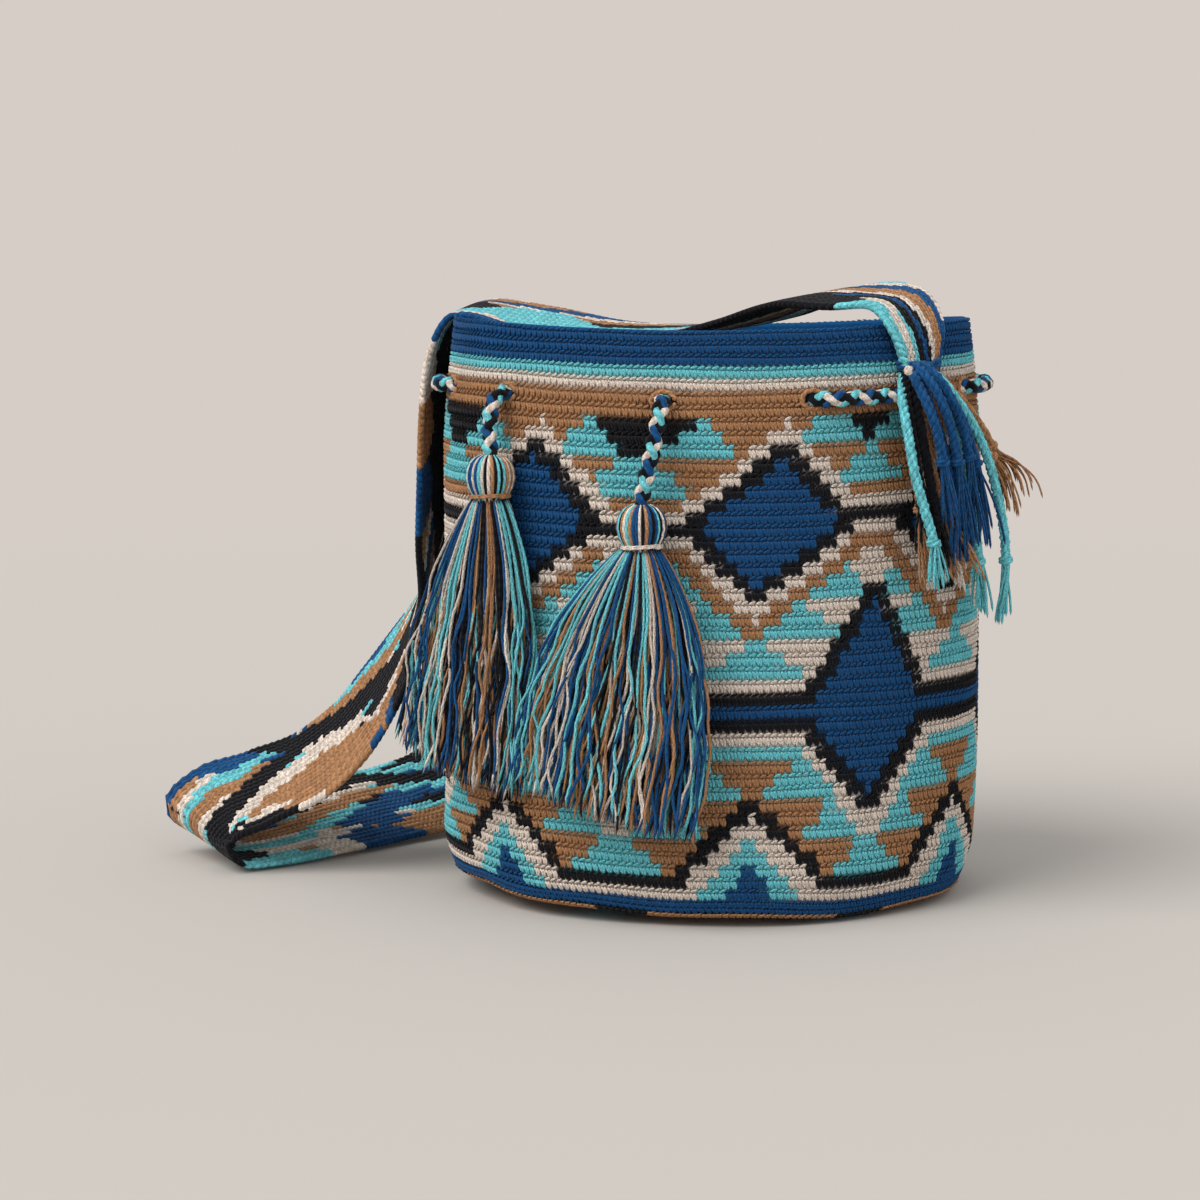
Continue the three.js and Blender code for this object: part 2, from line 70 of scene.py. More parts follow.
def unit(vectors: np.ndarray) -> np.ndarray:
    """Scales each row of an array to length one."""
    length = np.linalg.norm(vectors, axis=-1, keepdims=True)
    return vectors / np.maximum(length, 1e-12)


def smoothstep(values: np.ndarray, low: float, high: float) -> np.ndarray:
    """Rises smoothly from 0 at low to 1 at high."""
    t = np.clip((values - low) / (high - low), 0.0, 1.0)
    return t * t * (3.0 - 2.0 * t)


def catmull(points: np.ndarray, per_span: int) -> np.ndarray:
    """Runs a centripetal Catmull-Rom curve through points.

    Args:
        points: the control points, one a row; columns past the third follow along.
        per_span: samples on each span.

    Returns:
        The samples, one a row, the last control point included.
    """
    first = 2 * points[0] - points[1]
    last = 2 * points[-1] - points[-2]
    knots = np.vstack([first, points, last])
    samples = []
    for i in range(1, len(knots) - 2):
        p0, p1, p2, p3 = knots[i - 1 : i + 3]
        d0, d1, d2 = (
            max(np.linalg.norm((b - a)[:3]) ** 0.5, 1e-6) for a, b in ((p0, p1), (p1, p2), (p2, p3))
        )
        m1 = ((p1 - p0) / d0 - (p2 - p0) / (d0 + d1) + (p2 - p1) / d1) * d1
        m2 = ((p2 - p1) / d1 - (p3 - p1) / (d1 + d2) + (p3 - p2) / d2) * d1
        for step in range(per_span):
            t = step / per_span
            samples.append(
                (2 * t**3 - 3 * t**2 + 1) * p1
                + (t**3 - 2 * t**2 + t) * m1
                + (-2 * t**3 + 3 * t**2) * p2
                + (t**3 - t**2) * m2
            )
    samples.append(points[-1])
    return np.array(samples)


def resample(path: np.ndarray, count: int) -> np.ndarray:
    """Places count points at even distances along a path of any number of columns."""
    steps = np.linalg.norm(np.diff(path[:, :3], axis=0), axis=1)
    run = np.concatenate([[0.0], np.cumsum(steps)])
    at = np.linspace(0.0, run[-1], count)
    return np.column_stack([np.interp(at, run, path[:, k]) for k in range(path.shape[1])])


def in_picture(x_px: float, y_px: float, depth: float) -> list[float]:
    """The place that the camera sees at a point of its picture.

    Args:
        x_px: the point's place across the picture, in pixels.
        y_px: its place down the picture, in pixels.
        depth: the place along Y, in millimetres.

    Returns:
        The place in metres.
    """
    reach = 1400.0 + depth
    x = (x_px - 712.0) * reach / 2950.0
    z = 289.0 + ((600.0 - y_px) / 2950.0 - 0.108) * reach
    return [x * MM, depth * MM, z * MM]


def path_length(path: np.ndarray) -> float:
    """The length of a path of points."""
    return float(np.linalg.norm(np.diff(path[:, :3], axis=0), axis=1).sum())


def carried_frames(path: np.ndarray) -> tuple[np.ndarray, np.ndarray, np.ndarray]:
    """Tangents, and two cross directions that don't twist along the path.

    Args:
        path: points, one a row.

    Returns:
        Tangents, first cross directions and second cross directions.
    """
    tangents = unit(np.gradient(path, axis=0))
    start = np.array([0.0, 0.0, 1.0])
    if abs(tangents[0] @ start) > 0.9:
        start = np.array([1.0, 0.0, 0.0])
    first = np.zeros_like(path)
    direction = start
    for i, tangent in enumerate(tangents):
        direction = direction - tangent * (direction @ tangent)
        direction = direction / np.linalg.norm(direction)
        first[i] = direction
    return tangents, first, np.cross(tangents, first)


@dataclass
class MeshBuffer:
    """Collects closed tubes with the attributes that the yarn finish reads."""

    verts: list = field(default_factory=list)
    faces: list = field(default_factory=list)
    run: list = field(default_factory=list)
    ply: list = field(default_factory=list)
    shade: list = field(default_factory=list)
    slots: list = field(default_factory=list)
    count: int = 0

    def add_tube(
        self,
        path: np.ndarray,
        radius: np.ndarray | float,
        sides: int,
        shade: float = 0.5,
        slot: int = 0,
        flat: tuple[np.ndarray, float] | None = None,
    ) -> None:
        """Adds a tube whose ends close to a point at the path's own ends.

        Args:
            path: points along its middle; the first and the last are its tips.
            radius: its radius, one for all or one a point.
            sides: corners of its section.
            shade: how light its yarn is, from 0 to 1.
            slot: the index of its material.
            flat: a direction and the share of the radius that is kept along it.
        """
        _, first, second = carried_frames(path)
        radii = np.broadcast_to(np.asarray(radius, float), (len(path),))
        turn = np.arange(sides) / sides * 2 * np.pi
        ring = (
            first[1:-1, None] * np.cos(turn)[None, :, None]
            + second[1:-1, None] * np.sin(turn)[None, :, None]
        )
        if flat is not None:
            direction, share = flat
            depth = ring @ direction
            ring = ring - depth[..., None] * direction * (1.0 - share)
        body = path[1:-1, None] + ring * radii[1:-1, None, None]
        steps = np.linalg.norm(np.diff(path, axis=0), axis=1)
        run = np.concatenate([[0.0], np.cumsum(steps)])
        rings = len(path) - 2
        base = self.count
        self.verts.append(np.vstack([path[:1], body.reshape(-1, 3), path[-1:]]))
        self.run.append(np.concatenate([run[:1], np.repeat(run[1:-1], sides), run[-1:]]))
        wound = np.column_stack([np.cos(2 * turn), np.sin(2 * turn), np.zeros(sides)])
        self.ply.append(np.vstack([np.zeros((1, 3)), np.tile(wound, (rings, 1)), np.zeros((1, 3))]))
        total = rings * sides + 2
        self.shade.append(np.full(total, shade))
        tip = base + total - 1
        for side in range(sides):
            after = (side + 1) % sides
            self.faces.append((base, base + 1 + after, base + 1 + side))
            end = base + 1 + (rings - 1) * sides
            self.faces.append((tip, end + side, end + after))
            for k in range(rings - 1):
                a = base + 1 + k * sides + side
                b = base + 1 + k * sides + after
                self.faces.append((a, b, b + sides, a + sides))
        self.slots.extend([slot] * (sides * (rings + 1)))
        self.count += total

    def to_object(self, name: str, materials: list) -> bpy.types.Object:
        """Makes one mesh object of all that was added.

        Args:
            name: the object's name.
            materials: its materials, in the order of the slots.

        Returns:
            The new mesh object.
        """
        mesh = bpy.data.meshes.new(name)
        mesh.from_pydata(np.vstack(self.verts).tolist(), [], self.faces)
        write_attribute(mesh, "run", "FLOAT", np.concatenate(self.run))
        write_attribute(mesh, "ply", "FLOAT_VECTOR", np.vstack(self.ply))
        write_attribute(mesh, "shade", "FLOAT", np.concatenate(self.shade))
        for material in materials:
            mesh.materials.append(material)
        mesh.polygons.foreach_set("material_index", np.array(self.slots, np.int32))
        mesh.polygons.foreach_set("use_smooth", np.ones(len(mesh.polygons), bool))
        mesh.update()
        return add_object(name, mesh)


def write_attribute(mesh: bpy.types.Mesh, name: str, kind: str, values: np.ndarray) -> None:
    """Stores one value a vertex under a name."""
    attribute = mesh.attributes.new(name, kind, "POINT")
    key = "vector" if kind == "FLOAT_VECTOR" else "value"
    attribute.data.foreach_set(key, np.ascontiguousarray(values, np.float32).ravel())


def add_object(name: str, data: bpy.types.ID) -> bpy.types.Object:
    """Links a new object that holds data."""
    made = bpy.data.objects.new(name, data)
    bpy.context.scene.collection.objects.link(made)
    return made


@dataclass
class NodeBench:
    """A node tree under construction."""

    tree: bpy.types.NodeTree

    def add(self, kind: str, **values) -> bpy.types.Node:
        """Adds a node and sets its properties."""
        node = self.tree.nodes.new(kind)
        for key, value in values.items():
            setattr(node, key, value)
        return node

    def link(self, source: bpy.types.NodeSocket, target: bpy.types.NodeSocket) -> None:
        """Joins two sockets."""
        self.tree.links.new(source, target)

    def noise(self, scale: float, detail: float, place: bpy.types.Node) -> bpy.types.NodeSocket:
        """Adds a noise over the piece.

        Args:
            scale: how fine it is.
            detail: how rough it is.
            place: the texture coordinate node.

        Returns:
            Its strength.
        """
        cloud = self.add("ShaderNodeTexNoise")
        cloud.inputs["Scale"].default_value = scale
        cloud.inputs["Detail"].default_value = detail
        self.link(place.outputs["Object"], cloud.inputs["Vector"])
        return cloud.outputs["Fac"]

    def grain(self, shader: bpy.types.Node, height: bpy.types.NodeSocket, strength: float, depth: float) -> None:
        """Gives a shader a fine relief.

        Args:
            shader: which shader.
            height: how high each place is.
            strength: how strong it is, from 0 to 1.
            depth: how deep it is, in metres.
        """
        bump = self.add("ShaderNodeBump")
        bump.inputs["Strength"].default_value = strength
        bump.inputs["Distance"].default_value = depth
        self.link(height, bump.inputs["Height"])
        self.link(bump.outputs["Normal"], shader.inputs["Normal"])

    def math(self, operation: str, *inputs, clamp: bool = False) -> bpy.types.NodeSocket:
        """Adds a math node fed by sockets or numbers and returns its output.

        Args:
            operation: what the node does.
            inputs: sockets or numbers, in order.
            clamp: whether the result stays in 0 to 1.

        Returns:
            The node's output.
        """
        node = self.add("ShaderNodeMath", operation=operation, use_clamp=clamp)
        for socket, value in zip(node.inputs, inputs):
            if isinstance(value, bpy.types.NodeSocket):
                self.link(value, socket)
            else:
                socket.default_value = value
        return node.outputs[0]


def cotton(name: str, roughness: float) -> tuple[bpy.types.Material, NodeBench, bpy.types.Node]:
    """Starts a matte cotton material.

    Args:
        name: the material's name.
        roughness: how dull it is.

    Returns:
        The material, the bench for its nodes, and its shader.
    """
    material = bpy.data.materials.new(name)
    material.use_nodes = True
    shader = material.node_tree.nodes["Principled BSDF"]
    shader.inputs["Roughness"].default_value = roughness
    shader.inputs["Specular IOR Level"].default_value = 0.08
    return material, NodeBench(material.node_tree), shader


def tinted(bench: NodeBench, light: bpy.types.NodeSocket) -> bpy.types.Node:
    """Adds a colour that is multiplied by a lightness.

    Args:
        bench: where the nodes go.
        light: the lightness.

    Returns:
        The mix node: input 6 takes the colour, and output 2 gives the result.
    """
    mix = bench.add("ShaderNodeMix", data_type="RGBA", blend_type="MULTIPLY")
    mix.inputs["Factor"].default_value = 1.0
    grey = bench.add("ShaderNodeCombineXYZ")
    for socket in grey.inputs:
        bench.link(light, socket)
    bench.link(grey.outputs[0], mix.inputs[7])
    return mix


@dataclass(frozen=True)
class YarnFinish:
    """Matte plied cotton in one colour, with its plies, its fuzz, its uneven dye, and painted shade in the ply
    grooves with a painted highlight on their crests.
    """

    name: str
    colour: tuple[float, float, float]
    ply_pitch: float = 3.2 * MM
    # painted shade: how much darker the ply grooves are painted, and how much lighter their crests
    painted_groove_shade: float = 0.55
    roughness: float = 0.88
    sheen: float = 0.07
    bump: float = 0.7

    def build(self) -> bpy.types.Material:
        """Makes the material.

        Returns:
            The new material.
        """
        material, bench, shader = cotton(self.name, self.roughness)
        shader.inputs["Sheen Weight"].default_value = self.sheen
        shader.inputs["Sheen Roughness"].default_value = 0.6
        height = self.plies(bench)
        place = bench.add("ShaderNodeTexCoord")
        fuzz = bench.noise(1900.0, 3.0, place)
        bench.link(self.dyed_with_painted_shade(bench, height, place), shader.inputs["Base Color"])
        raised = bench.math("MULTIPLY_ADD", fuzz, 1.5, height)
        bench.grain(shader, raised, self.bump, 0.25 * MM)
        return material

    def plies(self, bench: NodeBench) -> bpy.types.NodeSocket:
        """The height of the two twisted plies, from -1 in a groove to 1 on a ply.

        Args:
            bench: where the nodes go.

        Returns:
            The socket that gives the height.
        """
        run = bench.add("ShaderNodeAttribute", attribute_name="run").outputs["Fac"]
        wound = bench.add("ShaderNodeAttribute", attribute_name="ply").outputs["Vector"]
        parts = bench.add("ShaderNodeSeparateXYZ")
        bench.link(wound, parts.inputs[0])
        phase = bench.math("MULTIPLY", run, 2 * math.pi / self.ply_pitch)
        left = bench.math("MULTIPLY", bench.math("SINE", phase), parts.outputs["X"])
        right = bench.math("MULTIPLY", bench.math("COSINE", phase), parts.outputs["Y"])
        return bench.math("ADD", left, right)

    def dyed_with_painted_shade(
        self, bench: NodeBench, height: bpy.types.NodeSocket, place: bpy.types.Node
    ) -> bpy.types.NodeSocket:
        """The colour: painted shade in the ply grooves and a painted highlight on the ply crests, fine flecks that
        are partly painted highlights of fibres, and a little uneven from stitch to stitch.

        Args:
            bench: where the nodes go.
            height: the plies' height.
            place: the texture coordinate node.

        Returns:
            The socket that gives the colour.
        """
        # Painted shade in the ply grooves and a painted highlight on their crests, taken from the plies' height.
        groove = bench.math("MULTIPLY_ADD", height, 0.5, 0.5, clamp=True)
        light = bench.math("MULTIPLY_ADD", groove, self.painted_groove_shade, 1.0 - self.painted_groove_shade * 0.62)
        shade = bench.add("ShaderNodeAttribute", attribute_name="shade").outputs["Fac"]
        uneven = bench.math("MULTIPLY_ADD", shade, 0.30, 0.88)
        patchy = bench.math("MULTIPLY_ADD", bench.noise(38.0, 2.0, place), 0.22, 0.89)
        # Fine random flecks of lighter and darker fibre; the lighter flecks are partly painted highlights of fibres
        # catching the light.
        fibre_flecks_and_glints = bench.math("MULTIPLY_ADD", bench.noise(1500.0, 4.0, place), 1.9, 0.05)
        total = bench.math("MULTIPLY", bench.math("MULTIPLY", light, uneven), patchy)
        total = bench.math("MULTIPLY", total, fibre_flecks_and_glints)
        mix = tinted(bench, total)
        mix.inputs[6].default_value = (*self.colour, 1.0)
        return mix.outputs[2]


@dataclass(frozen=True)
class WallFinish:
    """The inside of the crochet, where the carried yarns show between the stitches."""

    name: str = "crochet_inside"

    def build(self) -> bpy.types.Material:
        """Makes the material, which takes its colours from the mesh's own yarn attribute.

        Returns:
            The new material.
        """
        material, bench, shader = cotton(self.name, 0.92)
        yarn = bench.add("ShaderNodeAttribute", attribute_name="yarn")
        noise = bench.noise(900.0, 4.0, bench.add("ShaderNodeTexCoord"))
        mix = tinted(bench, bench.math("MULTIPLY_ADD", noise, 0.8, 0.5))
        bench.link(yarn.outputs["Color"], mix.inputs[6])
        bench.link(mix.outputs[2], shader.inputs["Base Color"])
        bench.grain(shader, noise, 0.6, 0.4 * MM)
        return material


@dataclass
class YarnShelf:
    """The built yarn materials of one use, one for each yarn."""

    use: str
    ply_pitch: float = 3.2 * MM
    # painted shade: how much darker the ply grooves are painted, and how much lighter their crests
    painted_groove_shade: float = 0.55
    materials: dict = field(default_factory=dict)

    def of(self, yarn: Yarn) -> bpy.types.Material:
        """The material of a yarn, made when it is first asked for.

        Args:
            yarn: which yarn.

        Returns:
            Its material.
        """
        if yarn not in self.materials:
            finish = YarnFinish(
                f"{self.use}_{yarn.name.lower()}",
                yarn.value,
                ply_pitch=self.ply_pitch,
                painted_groove_shade=self.painted_groove_shade,
            )
            self.materials[yarn] = finish.build()
        return self.materials[yarn]


def group_tree(name: str, inputs: list[tuple[str, str]]) -> NodeBench:
    """Starts a Geometry Nodes tree with a geometry input, named inputs and a geometry output.

    Args:
        name: the tree's name.
        inputs: name and socket type of each input.

    Returns:
        The bench that holds the tree.
    """
    tree = bpy.data.node_groups.new(name, "GeometryNodeTree")
    tree.interface.new_socket("Geometry", in_out="INPUT", socket_type="NodeSocketGeometry")
    for label, kind in inputs:
        tree.interface.new_socket(label, in_out="INPUT", socket_type=kind)
    tree.interface.new_socket("Geometry", in_out="OUTPUT", socket_type="NodeSocketGeometry")
    return NodeBench(tree)


def stitch_tree() -> bpy.types.NodeTree:
    """Puts a small piece on every point, turned to the point's own turn, with a little unevenness.

    Returns:
        The tree.
    """
    bench = group_tree(
        "repeat_on_points",
        [
            ("Piece", "NodeSocketObject"),
            ("Material", "NodeSocketMaterial"),
            ("Unevenness", "NodeSocketFloat"),
            ("Size spread", "NodeSocketFloat"),
        ],
    )
    start = bench.add("NodeGroupInput")
    piece = bench.add("GeometryNodeObjectInfo")
    bench.link(start.outputs["Piece"], piece.inputs["Object"])
    turn = bench.add("GeometryNodeInputNamedAttribute", data_type="FLOAT_VECTOR")
    turn.inputs["Name"].default_value = "turn"
    to_rotation = bench.add("FunctionNodeEulerToRotation")
    bench.link(turn.outputs["Attribute"], to_rotation.inputs[0])
    size = bench.add("GeometryNodeInputNamedAttribute", data_type="FLOAT_VECTOR")
    size.inputs["Name"].default_value = "size"
    place = bench.add("GeometryNodeInstanceOnPoints")
    bench.link(start.outputs["Geometry"], place.inputs["Points"])
    bench.link(piece.outputs["Geometry"], place.inputs["Instance"])
    bench.link(to_rotation.outputs[0], place.inputs["Rotation"])
    bench.link(size.outputs["Attribute"], place.inputs["Scale"])
    lean = bench.add("FunctionNodeRandomValue", data_type="FLOAT_VECTOR")
    lean.inputs["Seed"].default_value = 11
    spread = bench.add("ShaderNodeVectorMath", operation="SCALE")
    spread.inputs[0].default_value = (1.0, 1.0, 1.0)
    bench.link(start.outputs["Unevenness"], spread.inputs["Scale"])
    lowest = bench.add("ShaderNodeVectorMath", operation="SCALE")
    lowest.inputs["Scale"].default_value = -1.0
    bench.link(spread.outputs["Vector"], lowest.inputs[0])
    bench.link(lowest.outputs["Vector"], lean.inputs["Min"])
    bench.link(spread.outputs["Vector"], lean.inputs["Max"])
    turned = bench.add("GeometryNodeRotateInstances")
    bench.link(place.outputs["Instances"], turned.inputs["Instances"])
    bench.link(lean.outputs["Value"], turned.inputs["Rotation"])
    grown = bench.add("GeometryNodeScaleInstances")
    factor = bench.add("FunctionNodeRandomValue", data_type="FLOAT")
    factor.inputs["Seed"].default_value = 12
    low = bench.math("SUBTRACT", 1.0, start.outputs["Size spread"])
    high = bench.math("ADD", 1.0, start.outputs["Size spread"])
    bench.link(low, factor.inputs[2])
    bench.link(high, factor.inputs[3])
    bench.link(turned.outputs["Instances"], grown.inputs["Instances"])
    bench.link(factor.outputs[1], grown.inputs["Scale"])
    real = bench.add("GeometryNodeRealizeInstances")
    bench.link(grown.outputs["Instances"], real.inputs["Geometry"])
    dressed = bench.add("GeometryNodeSetMaterial")
    bench.link(real.outputs["Geometry"], dressed.inputs["Geometry"])
    bench.link(start.outputs["Material"], dressed.inputs["Material"])
    end = bench.add("NodeGroupOutput")
    bench.link(dressed.outputs["Geometry"], end.inputs[0])
    return bench.tree


def grow(source: bpy.types.Object, tree: bpy.types.NodeTree, name: str, **inputs) -> bpy.types.Object:
    """Runs a tree on an object and keeps the result as a plain mesh.

    Args:
        source: the object that holds the points; it is removed.
        tree: the Geometry Nodes tree.
        name: the name of the new object.
        inputs: values of the tree's named inputs, with _ for a space.

    Returns:
        The new mesh object.
    """
    modifier = source.modifiers.new("grow", "NODES")
    modifier.node_group = tree
    sockets = {
        item.name: item.identifier
        for item in tree.interface.items_tree
        if item.item_type == "SOCKET" and item.in_out == "INPUT"
    }
    for label, value in inputs.items():
        modifier[sockets[label.replace("_", " ")]] = value
    source.update_tag()
    bpy.context.view_layer.update()
    graph = bpy.context.evaluated_depsgraph_get()
    mesh = bpy.data.meshes.new_from_object(source.evaluated_get(graph))
    for extra in ("turn", "size"):
        if extra in mesh.attributes:
            mesh.attributes.remove(mesh.attributes[extra])
    mesh.name = name
    source.modifiers.clear()
    data = source.data
    bpy.data.objects.remove(source)
    bpy.data.meshes.remove(data)
    return add_object(name, mesh)


def points_object(
    name: str, places: np.ndarray, turns: np.ndarray, sizes: np.ndarray, shades: np.ndarray
) -> bpy.types.Object:
    """A mesh of loose points that carry a turn, a size and a shade.

    Args:
        name: its name.
        places: where the points are.
        turns: their Euler turns.
        sizes: their scale on each axis.
        shades: how light each is, from 0 to 1.

    Returns:
        The new mesh object.
    """
    mesh = bpy.data.meshes.new(name)
    mesh.from_pydata(places.tolist(), [], [])
    write_attribute(mesh, "turn", "FLOAT_VECTOR", turns)
    write_attribute(mesh, "size", "FLOAT_VECTOR", sizes)
    write_attribute(mesh, "shade", "FLOAT", shades)
    return add_object(name, mesh)


def eulers(right: np.ndarray, up: np.ndarray, out: np.ndarray) -> np.ndarray:
    """The XYZ Euler turns that take X, Y and Z to the rows of right, up and out."""
    pitch = -np.arcsin(np.clip(right[:, 2], -1.0, 1.0))
    roll = np.arctan2(up[:, 2], out[:, 2])
    yaw = np.arctan2(right[:, 1], right[:, 0])
    return np.column_stack([roll, pitch, yaw])


@dataclass(frozen=True)
class BagForm:
    """The bag's sizes and the form of its wall, as the solid has them, in metres."""

    width: float = 250 * MM
    depth: float = 206 * MM
    height: float = 272 * MM
    wall: float = 4 * MM
    floor: float = 5 * MM
    mouth_dip: float = 5 * MM
    mouth_tuck: float = 0.045
    mouth_tuck_height: float = 62 * MM
    base_tuck: float = 0.065
    base_tuck_height: float = 30 * MM
    base_lobe: float = 1.6 * MM
    base_lift: float = 6.5 * MM
    base_lift_height: float = 62 * MM

    def girth(self, z: np.ndarray) -> np.ndarray:
        """The wall's middle surface at a height, as a share of its full size."""
        base = np.maximum(0.0, 1.0 - z / self.base_tuck_height)
        mouth = np.maximum(0.0, (z - self.height + self.mouth_tuck_height) / self.mouth_tuck_height)
        return 1.0 - self.base_tuck * base**2 - self.mouth_tuck * mouth**1.4

    def dip(self, angle: np.ndarray, z: np.ndarray) -> np.ndarray:
        """How far the soft mouth hangs down at the front and the back."""
        return self.mouth_dip * np.cos(angle) ** 2 * smoothstep(z, self.height * 0.4, self.height * 0.82)

    def lobe(self, angle: np.ndarray, z: np.ndarray) -> np.ndarray:
        """The soft lobes of the lower wall."""
        fade = 1.0 - smoothstep(z, 0.0, self.height * 0.3)
        return self.base_lobe * fade * (np.sin(3 * angle + 0.7) + 0.6 * np.sin(7 * angle))

    def lift(self, angle: np.ndarray, z: np.ndarray) -> np.ndarray:
        """How far the soft lower edge rises off the ground, most at the front left, where the base shows."""
        apart = (angle - math.radians(-68) + math.pi) % (2 * math.pi) - math.pi
        left = np.exp(-((apart / 0.62) ** 2))
        ripple = 0.16 * (1.0 + np.sin(4 * angle + 2.2)) + 0.09 * (1.0 + np.sin(9 * angle))
        return self.base_lift * np.clip(left + ripple, 0.0, 1.1) * (1.0 - smoothstep(z, 0.0, self.base_lift_height))

    def outward(self, angle: np.ndarray) -> np.ndarray:
        """The level direction straight out of the wall."""
        flat = np.zeros_like(angle)
        return unit(
            np.stack([np.sin(angle) / self.width, -np.cos(angle) / self.depth, flat], axis=-1)
        )

    def along(self, angle: np.ndarray) -> np.ndarray:
        """The level direction along the wall, towards growing angles."""
        flat = np.zeros_like(angle)
        return unit(np.stack([np.cos(angle) * self.width, np.sin(angle) * self.depth, flat], axis=-1))

    def at(self, angle: Number, z: Number, distance: Number) -> np.ndarray:
        """A point at a distance from the wall's middle surface.

        Args:
            angle: round the bag, 0 at the front, in radians.
            z: the height on the straight wall.
            distance: how far out from the wall's middle.

        Returns:
            The point or points.
        """
        angle, z, distance = np.broadcast_arrays(
            np.asarray(angle, float), np.asarray(z, float), np.asarray(distance, float)
        )
        scale = self.girth(z)
        wall = np.stack(
            [
                np.sin(angle) * self.width / 2 * scale,
                -np.cos(angle) * self.depth / 2 * scale,
                z - self.dip(angle, z) + self.lift(angle, z),
            ],
            axis=-1,
        )
        return wall + self.outward(angle) * (distance + self.lobe(angle, z))[..., None]

    def even_angles(self, count: int) -> np.ndarray:
        """Angles of count points that lie at even distances round the bag, from the front on."""
        fine = np.linspace(0.0, 2 * np.pi, 2049)
        speed = np.hypot(np.cos(fine) * self.width / 2, np.sin(fine) * self.depth / 2)
        run = np.concatenate([[0.0], np.cumsum((speed[1:] + speed[:-1]) / 2 * np.diff(fine))])
        return np.interp(np.arange(count) / count * run[-1], run, fine)


@dataclass(frozen=True)
class Motif:
    """A stepped figure of one yarn, as wide at its first course as half says on each side of its axis."""

    yarn: Yarn
    axis: Axis
    first: int
    last: int
    half: float
    step: float

    def covers(self, course: int, offsets: dict) -> np.ndarray:
        """Which stitches of a course it takes."""
        if not self.first <= course <= self.last:
            return np.zeros(len(offsets[self.axis]), bool)
        return offsets[self.axis] <= self.half + self.step * (course - self.first)


